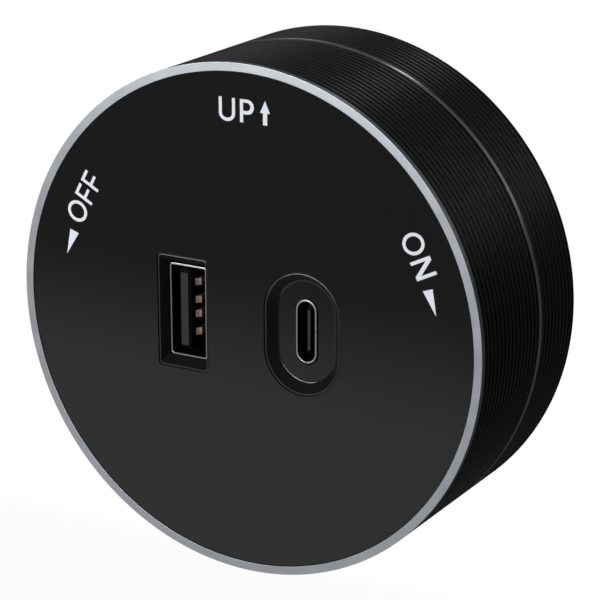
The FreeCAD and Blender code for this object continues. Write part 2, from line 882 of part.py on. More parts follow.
def make_usb_a_shell():
    body = new_body("usb_a_shell", across=-S.usb_a_place)
    wall = 2 * S.port_wall
    width, height = S.usb_a_shell_width, S.usb_a_shell_height
    tube = face_sketch(body, "tube", mouth_floor)
    centred_box(tube, 0, 0, width, height)
    centred_box(tube, 0, 0, width - wall, height - wall)
    pad(body, tube, port_front - mouth_floor)
    add_shell_legs(body, height / 2)
    return body


def make_usb_c_shell():
    body = new_body("usb_c_shell", across=S.usb_c_place)
    wall = 2 * S.port_wall
    tube = face_sketch(body, "tube", mouth_floor)
    obround(tube, 0, 0, S.usb_c_shell_width, S.usb_c_shell_height)
    obround(tube, 0, 0, S.usb_c_shell_width - wall, S.usb_c_shell_height - wall)
    pad(body, tube, port_front - mouth_floor)
    add_shell_legs(body, S.usb_c_shell_height / 2)
    return body


def add_shell_legs(body, edge):
    """Two flat legs that go through the port board."""
    half = S.port_leg_width / 2
    legs = face_sketch(body, "legs", port_front)
    plain_box(legs, -half, half, edge - S.port_wall, edge)
    plain_box(legs, -half, half, -edge, S.port_wall - edge)
    pad(body, legs, S.board_thickness + S.port_leg)


def make_tongue(label, across, root_size, tongue_size, shift, recess):
    """A connector's insulator: a root block inside the shell and the tongue that stands forward from it."""
    body = new_body(label, across=across)
    width, height = root_size
    root = face_sketch(body, "root", port_front - S.port_base)
    plain_box(root, -width / 2, width / 2, -height / 2, height / 2)
    pad(body, root, S.port_base)
    thickness, tall = tongue_size
    front = mouth_floor + recess
    tongue = face_sketch(body, "tongue", front)
    plain_box(tongue, -shift - thickness / 2, thickness / 2 - shift, -tall / 2, tall / 2)
    pad(body, tongue, port_front - S.port_base - front)
    return body


def make_usb_a_tongue():
    gap = 2 * (S.port_wall + S.press_gap)
    root = (S.usb_a_shell_width - gap, S.usb_a_shell_height - gap)
    tongue = (S.usb_a_tongue_thickness, S.usb_a_tongue_height)
    return make_tongue(
        "usb_a_tongue", -S.usb_a_place, root, tongue, S.usb_a_tongue_shift, S.usb_a_tongue_recess
    )


def make_usb_c_tongue():
    gap = 2 * (S.port_wall + S.press_gap)
    root = (S.usb_c_shell_width - gap, S.usb_c_shell_height - S.usb_c_shell_width)
    tongue = (S.usb_c_tongue_thickness, S.usb_c_tongue_height)
    return make_tongue("usb_c_tongue", S.usb_c_place, root, tongue, 0 * gap, S.usb_c_tongue_recess)


def make_usb_a_contacts():
    """Four sprung strips on one face of the tongue, raised near the front where a plug meets them."""
    face = S.usb_a_tongue_thickness / 2 - S.usb_a_tongue_shift
    tip = mouth_floor + S.usb_a_tongue_recess + S.contact_lead
    apex = tip + S.contact_slope
    root = port_front - S.port_base
    strips = []
    for k, offset in enumerate(USB_A_CONTACTS):
        body = new_body(f"usb_a_contact_{k}", across=-S.usb_a_place, height=S.contact_width * offset)
        side = side_sketch(body, "side")
        outline(
            side,
            [
                (face, tip),
                (face + S.contact_strip, tip),
                (face + S.contact_rise, apex),
                (face + S.contact_rise, apex + S.contact_strip),
                (face + S.contact_strip, apex + S.contact_strip + S.contact_slope),
                (face + S.contact_strip, root),
                (face, root),
            ],
        )
        pad(body, side, S.contact_width, middle=True)
        strips.append(body)
    return group("usb_a_contacts", strips)


def make_usb_c_contacts():
    """Thin pads on both faces of the tongue."""
    front = mouth_floor + S.usb_c_tongue_recess + S.pad_width
    length = port_front - S.port_base - front
    half = S.usb_c_tongue_thickness / 2
    strips = []
    for side, left in (("left", -half - S.pad_strip), ("right", half)):
        for k in range(USB_C_PADS):
            low = S.pad_pitch * (k - (USB_C_PADS - 1) / 2) - S.pad_width / 2
            place_of = S.usb_c_place + left
            strips.append(
                block(f"usb_c_pad_{side}_{k}", place_of, front, low, S.pad_strip, length, S.pad_width)
            )
    return group("usb_c_contacts", strips)


def make_board(label, front, port_edges=()):
    """A circuit board on the carrier's pegs, with slots for the legs of the ports that stand on it."""
    body = new_body(label)
    plate = face_sketch(body, "plate", front)
    side, top = S.post_across + S.board_margin, S.post_up + S.board_margin
    plain_box(plate, -side, side, -top, top)
    for across, up in post_places():
        square(plate, across, up, S.peg_width + 2 * S.slide_gap)
    half = S.port_leg_width / 2 + S.slide_gap
    for across, edge in port_edges:
        inner, outer = edge - S.port_wall - S.slide_gap, edge + S.slide_gap
        plain_box(plate, across - half, across + half, inner, outer)
        plain_box(plate, across - half, across + half, -outer, -inner)
    pad(body, plate, S.board_thickness)
    return body


def make_port_board():
    edges = ((-S.usb_a_place, S.usb_a_shell_height / 2), (S.usb_c_place, S.usb_c_shell_height / 2))
    return make_board("port_board", port_front, edges)


def square_sleeve(label, across, front, up, outer, inner, length):
    """A square sleeve about a peg."""
    solid = block(f"{label}_outer", across - outer / 2, front, up - outer / 2, outer, length, outer)
    hole = block(f"{label}_hole", across - inner / 2, front, up - inner / 2, inner, length, inner)
    return less(label, solid, hole)


def make_board_spacers():
    hole = S.peg_width + 2 * S.slide_gap
    sleeves = []
    for k, (across, up) in enumerate(post_places()):
        sleeves.append(
            square_sleeve(f"spacer_{k}", across, port_rear, up, S.post_width, hole, S.board_spacing)
        )
    return group("board_spacers", sleeves)


def make_peg_clips():
    """Push-on clips that hold the boards on the carrier's pegs."""
    front = port_front - S.clip_thickness
    hole = S.peg_width + 2 * S.press_gap
    clips = []
    for k, (across, up) in enumerate(post_places()):
        clips.append(square_sleeve(f"clip_{k}", across, front, up, S.clip_width, hole, S.clip_thickness))
    return group("peg_clips", clips)


def make_link_pins():
    half = S.pin_width / 2
    left = S.post_across - half
    pins = []
    for k in range(LINK_PINS):
        low = S.pin_pitch * (k - (LINK_PINS - 1) / 2) - half
        pins.append(block(f"link_pin_{k}", left, port_rear, low, S.pin_width, S.board_spacing, S.pin_width))
    return group("link_pins", pins)


def make_transformer():
    """Ferrite frame with a middle leg, and the winding block that stands on the board around it."""
    middle = power_front - S.winding_depth / 2
    core = new_body("transformer_core", across=S.core_place)
    frame = face_sketch(core, "frame", middle - S.core_depth / 2)
    plain_box(frame, -S.core_width / 2, S.core_width / 2, -S.core_height / 2, S.core_height / 2)
    near = S.core_leg / 2
    far = near + S.window_height
    plain_box(frame, -S.window_width / 2, S.window_width / 2, near, far)
    plain_box(frame, -S.window_width / 2, S.window_width / 2, -far, -near)
    pad(core, frame, S.core_depth)

    gap = S.winding_gap
    play = gap / 2
    width = S.window_width - 2 * gap
    left = S.core_place - width / 2
    height = 2 * (far - gap)
    depth = S.winding_depth
    wound = block("winding_block", left, power_front - depth, -height / 2, width, depth, height)
    slot_front = middle - S.core_depth / 2 - play
    slot_size = (width, S.core_depth + gap, S.core_leg + gap)
    slot = block("winding_slot", left, slot_front, -near - play, *slot_size)
    return [core, less("transformer_winding", wound, slot)]


def make_small_components():
    """Capacitors, fuse, rectifier and control chip on the power board's front."""
    left = S.post_width / 2 + S.component_gap - S.post_across
    film = on_board("input_capacitor", left, S.film_up, S.film_width, S.film_depth, S.film_height)
    can_front = power_front - S.can_depth
    can = rod("output_capacitor", S.can_across, can_front, S.can_up, S.can_radius, S.can_depth)
    fuse = on_board("fuse", left, S.fuse_up, S.fuse_width, S.fuse_depth, S.fuse_height)
    rectifier = on_board(
        "bridge_rectifier",
        S.rectifier_across,
        S.rectifier_up,
        S.rectifier_width,
        S.rectifier_depth,
        S.rectifier_height,
    )
    chip = on_board("control_chip", S.chip_across, S.chip_up, S.chip_width, S.chip_depth, S.chip_width)
    return [film, can, fuse, rectifier, chip]


def on_board(label, left, low, width, depth, height):
    return block(label, left, power_front - depth, low, width, depth, height)


def build():
    parts = [
        make_rim_ring(),
        make_face_plate(),
        make_front_shell(),
        make_seam_ring(),
        make_base_shell(),
        make_carrier(),
        make_detent_spring(),
        make_contact_head(),
        make_stem_clip(),
        make_head_cover(),
        make_earth_contact(),
        make_usb_a_shell(),
        make_usb_a_tongue(),
        make_usb_a_contacts(),
        make_usb_c_shell(),
        make_usb_c_tongue(),
        make_usb_c_contacts(),
        make_port_board(),
        make_board("power_board", power_front),
        make_board_spacers(),
        make_peg_clips(),
        make_link_pins(),
    ]
    for name, turn in (("live", 0), ("neutral", 180)):
        parts.append(make_shoe(f"{name}_contact", turn))
        parts.append(make_shoe_spring(f"{name}_spring", turn))
        parts.append(make_terminal(f"{name}_terminal", turn))
    parts += make_leads()
    parts += make_transformer()
    parts += make_small_components()
    return parts


def check_and_export(parts):
    """Stop at any failed object, then write one file for each sub-part."""
    doc.recompute()
    for thing in doc.Objects:
        if "Invalid" in thing.State or "Error" in thing.State:
            raise RuntimeError(f"{thing.Label} failed: {thing.State}")
    os.makedirs("parts", exist_ok=True)
    for part in parts:
        shape = part.Shape
        if shape.isNull() or not shape.isValid() or not shape.Solids:
            raise RuntimeError(f"{part.Label} has no valid solid")
        shape.exportStep(f"parts/{part.Label}.step")
    print(len(parts), "sub-parts written")


check_and_export(build())
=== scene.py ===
"""Looks of the power track adapter: a round body with fine rings, a bright rim and a face with two ports.

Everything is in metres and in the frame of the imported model. Sizes below are in millimetres, and are turned
to metres where points are made. A depth is counted from the front of the rim towards the rear.
"""

import math

import bmesh
import bpy
from mathutils import Matrix, Vector
from mathutils.geometry import delaunay_2d_cdt


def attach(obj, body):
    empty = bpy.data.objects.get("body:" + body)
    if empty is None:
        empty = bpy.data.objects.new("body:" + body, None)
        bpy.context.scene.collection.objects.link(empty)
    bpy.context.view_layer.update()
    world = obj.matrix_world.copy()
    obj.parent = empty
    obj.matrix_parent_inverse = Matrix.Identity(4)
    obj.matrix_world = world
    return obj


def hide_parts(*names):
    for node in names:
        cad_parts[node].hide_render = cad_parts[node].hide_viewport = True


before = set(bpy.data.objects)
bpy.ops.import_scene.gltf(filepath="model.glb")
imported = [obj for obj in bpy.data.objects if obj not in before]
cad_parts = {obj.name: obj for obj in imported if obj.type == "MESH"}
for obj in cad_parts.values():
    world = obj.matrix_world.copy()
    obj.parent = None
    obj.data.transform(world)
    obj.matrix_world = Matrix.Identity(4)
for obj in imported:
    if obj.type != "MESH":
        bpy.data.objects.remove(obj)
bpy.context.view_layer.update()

MM = 0.001

# The body and the face: radii about the axis, and depths.
BODY_DEPTH = 28.1
BODY_RADIUS = 35.0
SHELL_BORE = 32.6
RIM_INNER = 33.83
RIM_BAND = 0.86
FACE_DEPTH = 0.1
PLATE_EDGE = 33.78
PLATE_ROUNDING = 0.06

# The fine rings and the seam. Each run starts at the middle of its first groove.
RING_PITCH = 1.1
RING_WIDTH = 0.7
RING_HEIGHT = 0.3
RING_EDGE = 0.05
GROOVE_ROUNDING = 0.02
FRONT_GROOVE = 1.28
FRONT_RINGS = 14
FRONT_END = 17.02
SEAM_FRONT = 17.12
SEAM_REAR = 17.86
SEAM_GAP = 0.01
REAR_GROOVE = 18.85
REAR_RINGS = 8

# The floor of the base: the hub's bearing, the counterbore behind it and the thinner floor round both.
BASE_INNER = 24.7
THIN_FLOOR = 26.4
COUNTER_FLOOR = 26.5
HUB_BORE = 12.06
COUNTERBORE_RADIUS = 16.0
BEARING_RADIUS = 17.5

# The two keys that sit in the track's slot. Their roots are sunk into the base.
KEY_START = 18.0
KEY_END = 30.0
KEY_WIDTH = 11.6
KEY_HEIGHT = 2.4
KEY_ROOT = 0.4

# The ports: places across the face and up, and depths.
USB_A_ACROSS = -9.43
USB_A_MOUTH_UP = 0.1
USB_C_ACROSS = 8.83
USB_C_MOUTH_ACROSS = USB_C_ACROSS + 0.1
MOUTH_FLOOR = 1.43
BOSS_END = 3.0
TONGUE_ROOT = 9.0
PORT_BOARD = 11.4

# The rows of each mouth, from the face inwards: width, height, corner and depth. A fine groove runs round the
# lip, the wall slopes in to the shell, and the last rows are the throat and the boss. A corner of 0 makes the
# ends round.
USB_A_MOUTH = (
    (8.0, 15.9, 0.5, FACE_DEPTH),
    (7.92, 15.82, 0.48, FACE_DEPTH + 0.05),
    (7.88, 15.78, 0.46, FACE_DEPTH + 0.2),
    (7.54, 15.48, 0.42, FACE_DEPTH + 0.2),
    (7.5, 15.44, 0.4, FACE_DEPTH + 0.1),
    (7.36, 15.3, 0.36, FACE_DEPTH + 0.08),
    (7.2, 15.14, 0.34, FACE_DEPTH + 0.2),
    (6.26, 13.5, 0.3, MOUTH_FLOOR - 0.08),
    (6.16, 13.3, 0.3, MOUTH_FLOOR + 0.04),
    (6.08, 13.16, 0.3, BOSS_END),
    (8.1, 15.5, 0.3, BOSS_END),
    (8.1, 15.5, 0.3, RIM_BAND),
)
USB_C_MOUTH = (
    (11.56, 16.98, 0, FACE_DEPTH),
    (11.48, 16.9, 0, FACE_DEPTH + 0.05),
    (11.44, 16.86, 0, FACE_DEPTH + 0.2),
    (11.06, 16.52, 0, FACE_DEPTH + 0.2),
    (11.02, 16.46, 0, FACE_DEPTH + 0.1),
    (10.88, 16.3, 0, FACE_DEPTH + 0.08),
    (10.7, 16.12, 0, FACE_DEPTH + 0.2),
    (8.76, 14.24, 0, MOUTH_FLOOR - 0.16),
    (8.62, 14.1, 0, MOUTH_FLOOR - 0.07),
    (8.46, 13.94, 0, MOUTH_FLOOR - 0.02),
    (8.3, 13.78, 0, MOUTH_FLOOR),
    (8.2, 13.68, 0, MOUTH_FLOOR),
    (3.6, 9.24, 0, MOUTH_FLOOR),
    (3.48, 9.12, 0, MOUTH_FLOOR),
    (3.38, 9.02, 0, MOUTH_FLOOR + 0.05),
    (3.38, 9.02, 0, BOSS_END),
    (10.48, 16.2, 2.0, BOSS_END),
    (10.48, 16.2, 2.0, RIM_BAND),
)
# The strips between those rows that are dull and painted darker as shade, and the lip, painted grey as a
# highlight.
USB_A_DULL_PAINTED_SHADE = (1, 2, 3, 6, 7, 8)
USB_C_DULL_PAINTED_SHADE = (1, 2, 3, 6)
MOUTH_LIP_PAINTED_HIGHLIGHT = (4,)

# The connectors' folded shells, and the legs that stand on the port board.
SHELL_WALL = 0.3
LEG_WIDTH = 2.0
LEG_LENGTH = 1.7

# The tongues: their corners, the length of the chamfered tip, and how far they run into their blocks.
TONGUE_CORNER = 0.06
TONGUE_CHAMFER = 0.35
TONGUE_SUNK = 0.2

# The USB-A strips: their side view as (rise from the tongue, depth), and their places from the lowest up.
STRIPS_ACROSS = -9.42
STRIP_SECTION = (
    (0, 3.3),
    (0.1, 3.32),
    (0.3, 3.6),
    (0.66, 3.85),
    (0.68, 4.1),
    (0.2, 4.6),
    (0.2, TONGUE_ROOT),
    (0, TONGUE_ROOT),
)
STRIP_WIDTH = 1.0
STRIP_PLACES = (-3.42, -0.92, 1.08, 3.58)

# The sides of a round form, enough for its outline to look smooth.
ROUND_STEPS = 224

# The printed marks: the thickness of the ink, how deep it is sunk, and the ways that two of the words read.
INK_PROUD = 0.012
INK_SUNK = 0.02
OFF_READING = 61.7
ON_READING = -64.0

# The light that gloss sees is painted: a painted pool of light on the floor, and painted light on the wall
# that brightens upwards. Each edge of the pool has a direction and the distances where it starts and ends.
# The camera sees a small share of the floor's shadow.
PAINTED_POOL_GLOW = 0.37
PAINTED_POOL_EDGES = (
    ((0, -1, 0), 80, 152),
    ((0, 1, 0), -29, -20),
    ((0.92, 0.39, 0), 50, 80),
    ((0.87, -0.5, 0), 46, 62),
)
FLOOR_PAINTED_GLOW = 0.045
WALL_PAINTED_GLOW = 0.07
PAINTED_GLOW_HEIGHTS = (100, 700)
SHADOW_SHARE = 0.05

# The cove: how far it lies below the body, its flat centre and floor, its curve, its wall and its sides.
FLOOR_GAP = 0.02
COVE_CENTRE = 0.5
COVE_FLOOR = 1200
COVE_CURVE = 400
COVE_TOP = 1300
COVE_STEPS = 64
COVE_CURVE_STEPS = 8

# The lamps: name, place and size in metres, and power in watts.
LAMPS = (
    ("key_box", (-0.225, -0.54, 0.10), (0.3, 0.14), 1.95),
    ("front_box", (0.0, -0.60, 0.12), (0.4, 0.1), 1.25),
    ("right_box", (0.30, -0.60, 0.08), (0.3, 0.1), 0.1),
    ("back_right_box", (0.35, 0.45, 0.25), (0.3, 0.3), 0.05),
    ("back_strip", (-0.075, 0.50, 0.33), (0.05, 0.3), 0.042),
    ("side_strip", (-0.31, 0.50, 0.127), (0.2, 0.08), 0.014),
    ("rear_box", (0.0, 0.60, 0.0), (0.12, 0.06), 0.7),
)
LAMP_AIM = (0, -0.015, 0)
WORLD_LEVEL = 0.1

# The camera: its place, its angles in degrees, its lens and its sensor.
CAMERA_PLACE = (159.76, -289.33, 99.82)
CAMERA_AZIMUTH = 30.033
CAMERA_ELEVATION = 17.488
CAMERA_ROLL = -0.111
CAMERA_LENS = 146.7
CAMERA_SENSOR = 36


def at(across, depth, height):
    """A point of the object, from millimetres."""
    return Vector((across * MM, (depth - BODY_DEPTH) * MM, height * MM))


def softened(corners, size=0.12, steps=3):
    """Round a closed section's corners, so that its edges catch the light as moulded or turned ones do."""
    result = []
    count = len(corners)
    for k, corner in enumerate(corners):
        here = Vector(corner[:2])
        before, after = Vector(corners[k - 1][:2]) - here, Vector(corners[(k + 1) % count][:2]) - here
        wanted = corner[2] if len(corner) > 2 else size
        reach = min(wanted, before.length * 0.45, after.length * 0.45)
        if reach < 1e-4:
            result.append(tuple(here))
            continue
        start, end = here + before.normalized() * reach, here + after.normalized() * reach
        for step in range(steps + 1):
            t = step / steps
            result.append(tuple(start * (1 - t) ** 2 + here * 2 * t * (1 - t) + end * t * t))
    return result


def lathe(mesh, section):
    """Turn a closed section, given as (radius, depth) points, about the object's axis."""
    rows = []
    for k in range(ROUND_STEPS):
        turn = 2 * math.pi * k / ROUND_STEPS
        rows.append([mesh.verts.new(at(r * math.cos(turn), s, r * math.sin(turn))) for r, s in section])
    for k, row in enumerate(rows):
        after = rows[(k + 1) % ROUND_STEPS]
        for j in range(len(section)):
            i = (j + 1) % len(section)
            mesh.faces.new((row[j], row[i], after[i], after[j]))


def round_outline(radius):
    """A circle about the object's axis."""
    turns = [2 * math.pi * k / ROUND_STEPS for k in range(ROUND_STEPS)]
    return [(radius * math.cos(turn), radius * math.sin(turn)) for turn in turns]


def loop_points(across, height, width, tall, corner, steps):
    """A rectangle with rounded corners. With half its width as the corner it is a slot's outline."""
    points = []
    reach, rise = width / 2 - corner, tall / 2 - corner
    for k, (x, z) in enumerate(((1, 1), (-1, 1), (-1, -1), (1, -1))):
        for step in range(steps + 1):
            turn = math.pi / 2 * (k + step / steps)
            side, up = x * reach + corner * math.cos(turn), z * rise + corner * math.sin(turn)
            points.append((across + side, height + up))
    return points


def wall(mesh, loops, closed=False, second=(), third=()):
    """Skin loops, each (points, depth). The strips numbered in second or third take that material."""
    rows = [[mesh.verts.new(at(x, depth, z)) for x, z in points] for points, depth in loops]
    pairs = list(zip(rows, rows[1:])) + ([(rows[-1], rows[0])] if closed else [])
    for number, (one, two) in enumerate(pairs):
        for k in range(len(one)):
            j = (k + 1) % len(one)
            face = mesh.faces.new((one[k], one[j], two[j], two[k]))
            face.material_index = 1 if number in second else 2 if number in third else 0
    return rows


def inside(point, loops):
    """Whether a flat point lies within the outer loop and out of every hole."""
    crossings = 0
    for loop in loops:
        for k, one in enumerate(loop):
            two = loop[k - 1]
            if (one.y > point.y) != (two.y > point.y):
                reach = one.x + (point.y - one.y) / (two.y - one.y) * (two.x - one.x)
                crossings += point.x < reach
    return crossings % 2 == 1


def fill_between(mesh, rows):
    """A flat face bounded by loops of points: the first is its edge and the others are holes in it."""
    verts = [vert for row in rows for vert in row]
    loops = [[Vector((vert.co.x, vert.co.z)) / MM for vert in row] for row in rows]
    edges, start = [], 0
    for loop in loops:
        count = len(loop)
        edges += [(start + k, start + (k + 1) % count) for k in range(count)]
        start += count
    flat = [point for loop in loops for point in loop]
    points, _, faces, origins, _, _ = delaunay_2d_cdt(flat, edges, [], 1, 1e-6)
    for face in faces:
        middle = sum((points[i] for i in face), Vector((0, 0))) / len(face)
        if inside(middle, loops):
            mesh.faces.new([verts[origins[i][0]] for i in face])


def box_mesh(mesh, low, high):
    """A block between two corners given as (across, depth, height)."""
    corners = [at(x, s, z) for x in (low[0], high[0]) for s in (low[1], high[1]) for z in (low[2], high[2])]
    verts = [mesh.verts.new(c) for c in corners]
    for face in ((0, 1, 3, 2), (4, 6, 7, 5), (0, 4, 5, 1), (2, 3, 7, 6), (0, 2, 6, 4), (1, 5, 7, 3)):
        mesh.faces.new([verts[i] for i in face])


def strip(mesh, section, low, high):
    """A closed (across, depth) section carried from one height to another."""
    rows = [[mesh.verts.new(at(x, s, z)) for x, s in section] for z in (low, high)]
    for k in range(len(section)):
        j = (k + 1) % len(section)
        mesh.faces.new((rows[0][k], rows[0][j], rows[1][j], rows[1][k]))
    for row in rows:
        mesh.faces.new(row)


def smoothed(data, angle):
    """Shade curved faces smooth and keep edges sharper than this angle."""
    data.polygons.foreach_set("use_smooth", [True] * len(data.polygons))
    data.set_sharp_from_angle(angle=math.radians(angle))
    return data


def finish_mesh(mesh, name, weld=0.0005, angle=32):
    """Merge doubles nearer than weld, turn every face outwards and shade curved faces smooth."""
    bmesh.ops.remove_doubles(mesh, verts=mesh.verts, dist=weld * MM)
    bmesh.ops.dissolve_degenerate(mesh, dist=weld * MM / 2, edges=mesh.edges)
    bmesh.ops.recalc_face_normals(mesh, faces=mesh.faces)
    data = bpy.data.meshes.new(name)
    mesh.to_mesh(data)
    mesh.free()
    return smoothed(data, angle)


def new_object(name, data):
    """An object of this data in the scene."""
    made = bpy.data.objects.new(name, data)
    bpy.context.scene.collection.objects.link(made)
    return made


def plain_mesh(holder):
    """The mesh that an object's modifiers make. The object itself is removed."""
    ready = holder.evaluated_get(bpy.context.evaluated_depsgraph_get())
    data = bpy.data.meshes.new_from_object(ready)
    holder.modifiers.clear()
    bpy.data.objects.remove(holder)
    return data


def piece(name, data, body, materials, stands_for=()):
    """Put a finished mesh on its body, with the materials that it hasn't got yet."""
    made = new_object(name, data)
    for each in materials:
        if each.name not in data.materials:
            data.materials.append(each)
    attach(made, body)
    if stands_for:
        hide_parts(*stands_for)


def bevelled(data, name, width, segments=2):
    """The same mesh with its sharp edges rounded."""
    holder = new_object(name, data)
    bevel = holder.modifiers.new("edges", "BEVEL")
    bevel.width = width * MM
    bevel.segments = segments
    bevel.limit_method = "ANGLE"
    bevel.angle_limit = math.radians(30)
    bevel.miter_outer = "MITER_ARC"
    return smoothed(plain_mesh(holder), 35)


def edged(node, name, width, body, material):
    """A CAD part's own shape with its edges rounded, standing for that part.

    The part's mesh is loose triangles, so its doubles and flat faces are merged first.
    """
    mesh = bmesh.new()
    mesh.from_mesh(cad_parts[node].data)
    bmesh.ops.remove_doubles(mesh, verts=mesh.verts, dist=0.002 * MM)
    bmesh.ops.dissolve_limit(mesh, angle_limit=math.radians(1), verts=mesh.verts, edges=mesh.edges)
    plain = bpy.data.meshes.new(name + "_plain")
    mesh.to_mesh(plain)
    mesh.free()
    piece(name, bevelled(plain, name, width), body, (material,), (node,))


def colour(text):
    """An sRGB hex colour as the linear values that a socket takes."""
    parts = [int(text[k : k + 2], 16) / 255 for k in (1, 3, 5)]
    return [p / 12.92 if p <= 0.04045 else ((p + 0.055) / 1.055) ** 2.4 for p in parts] + [1.0]


def add(tree, kind, sockets=None, **settings):
    """Add a node. A socket's value is a number, a colour or another node's output that feeds it."""
    node = tree.nodes.new(kind)
    for name, value in settings.items():
        setattr(node, name, value)
    for socket, value in (sockets or {}).items():
        if isinstance(value, bpy.types.NodeSocket):
            tree.links.new(value, node.inputs[socket])
        else:
            node.inputs[socket].default_value = value
    return node


def surface(name, **values):
    """A material with these values on its shader, its node tree, and the coordinates for its patterns."""
    material = bpy.data.materials.new(name)
    material.use_nodes = True
    tree = material.node_tree
    for socket, value in values.items():
        tree.nodes["Principled BSDF"].inputs[socket.replace("_", " ")].default_value = value
    return material, tree, add(tree, "ShaderNodeTexCoord").outputs["Object"]


def per_mm(size):
    """The texture scale that makes one cell of a pattern this many millimetres wide."""
    return 1 / (size * MM)


def grain(tree, place, size, detail=2.0, stretch=(1, 1, 1)):
    """Noise with cells of a real size, longer along one way where the surface was drawn or turned."""
    mapping = add(tree, "ShaderNodeMapping", {"Vector": place, "Scale": stretch})
    return add(
        tree,
        "ShaderNodeTexNoise",
        {"Vector": mapping.outputs[0], "Scale": per_mm(size), "Detail": detail, "Roughness": 0.55},
    ).outputs["Fac"]


def patterned(material, tone, rough, raised):
    """Vary a surface by patterns: colour between two tones, roughness between two values, and relief.

    tone is (pattern, dark, light), rough is (pattern, low, high), raised is (pattern, depth in mm, strength).
    """
    tree = material.node_tree
    shader = tree.nodes["Principled BSDF"].inputs
    pattern, dark, light = tone
    mix = add(tree, "ShaderNodeMix", {0: pattern, 6: colour(dark), 7: colour(light)}, data_type="RGBA")
    tree.links.new(mix.outputs[2], shader["Base Color"])
    pattern, low, high = rough
    spread = {"Value": pattern, "From Min": 0.3, "From Max": 0.7, "To Min": low, "To Max": high}
    tree.links.new(add(tree, "ShaderNodeMapRange", spread).outputs["Result"], shader["Roughness"])
    pattern, depth, strength = raised
    bump = add(tree, "ShaderNodeBump", {"Height": pattern, "Distance": depth * MM, "Strength": strength})
    tree.links.new(bump.outputs[0], shader["Normal"])
    return material


def turning_marks(tree, place, pitch):
    """Fine circles about the object's axis, as a lathe tool leaves them."""
    parts = add(tree, "ShaderNodeSeparateXYZ", {"Vector": place}).outputs
    flat = add(tree, "ShaderNodeCombineXYZ", {"X": parts["X"], "Y": parts["Z"]}).outputs[0]
    radius = add(tree, "ShaderNodeVectorMath", {0: flat}, operation="LENGTH").outputs["Value"]
    line = add(tree, "ShaderNodeMath", {0: radius, 1: parts["Y"]}, operation="ADD").outputs[0]
    return add(
        tree,
        "ShaderNodeTexNoise",
        {"W": line, "Scale": per_mm(pitch), "Detail": 2.0},
        noise_dimensions="1D",
    ).outputs["Fac"]


def piano_black():
    """Polycarbonate from a polished tool: near black, mirror smooth, with faint long waves of moulding."""
    material, tree, place = surface("piano_black_polycarbonate", IOR=1.56)
    tone = grain(tree, place, 18, 1.0), "#171718", "#19191a"
    rough = grain(tree, place, 6, 3.0), 0.09, 0.12
    raised = grain(tree, place, 14, 0.0), 0.001, 0.3
    return patterned(material, tone, rough, raised)


def satin_abs(name, rough=(0.32, 0.38), dark="#161617", light="#19191a", specular=0.4):
    """ABS or polycarbonate from a spark-eroded tool: black, with an even grain that spreads the light.

    The real grain is finer than the render can show, so its cells are drawn 0.16 mm wide. Darker tones given
    to it are painted shade, and the lip's grey is a painted highlight.
    """
    material, tree, place = surface(name, IOR=1.5, Specular_IOR_Level=specular)
    tone = grain(tree, place, 5, 2.0), dark, light
    raised = grain(tree, place, 0.16, 1.0), 0.001, 0.05
    return patterned(material, tone, (grain(tree, place, 1.5), *rough), raised)


def turned_aluminium(name, dark, light, rough):
    """Aluminium turned and clear anodised: pale grey metal with fine circles that draw its highlights out."""
    material, tree, place = surface(name, Metallic=1.0)
    marks = turning_marks(tree, place, 0.06)
    return patterned(material, (marks, dark, light), (grain(tree, place, 3), *rough), (marks, 0.0015, 0.5))


def plated_metal(name, dark, light, rough):
    """Rolled or drawn metal, bare or plated: smooth, with faint lines along the way it was worked."""
    material, tree, place = surface(name, Metallic=1.0)
    lines = grain(tree, place, 0.12, 2.0, (1, 0.12, 1))
    return patterned(material, (grain(tree, place, 1.2), dark, light), (lines, *rough), (lines, 0.001, 0.4))


def glass_filled(name, dark, light, rough=(0.5, 0.62)):
    """Filled plastic, epoxy, ferrite or ceramic: matt, with the short pale streaks of what fills it."""
    material, tree, place = surface(name, IOR=1.53, Specular_IOR_Level=0.35)
    tone = grain(tree, place, 0.5, 3.0, (1, 0.35, 1)), dark, light
    raised = grain(tree, place, 0.25, 2.0), 0.008, 0.6
    return patterned(material, tone, (grain(tree, place, 0.8), *rough), raised)


def printed_ink():
    """Pad-printed white ink: flat, faintly blue, with the slight unevenness of the pad."""
    material, tree, place = surface("pad_printed_ink", IOR=1.5, Specular_IOR_Level=0.3)
    tone = grain(tree, place, 0.4), "#dde0e7", "#e5e8ee"
    raised = grain(tree, place, 0.12), 0.002, 0.5
    return patterned(material, tone, (grain(tree, place, 0.3), 0.5, 0.6), raised)


def board_laminate():
    """Glass-epoxy board under green solder mask: satin, with the weave's small squares showing through."""
    material, tree, place = surface("board_laminate", IOR=1.5, Coat_Weight=0.3)
    weave = add(tree, "ShaderNodeTexChecker", {"Vector": place, "Scale": per_mm(0.8)}).outputs["Fac"]
    rough = grain(tree, place, 1), 0.3, 0.4
    return patterned(material, (weave, "#12452a", "#174f31"), rough, (weave, 0.004, 0.4))


def wound_tape(name, dark, light, width):
    """Polyester tape or film round a winding or a capacitor: smooth, with a faint line at each edge.

    At a scale of 1 this texture's bands are pi / 10 apart, so the scale is that share of the tape's width.
    """
    material, tree, place = surface(name, IOR=1.55, Coat_Weight=0.2)
    wave = add(
        tree,
        "ShaderNodeTexWave",
        {"Vector": place, "Scale": per_mm(width) * math.pi / 10, "Distortion": 0.6},
        bands_direction="Y",
    ).outputs["Fac"]
    return patterned(material, (wave, dark, light), (grain(tree, place, 1), 0.3, 0.42), (wave, 0.01, 0.5))


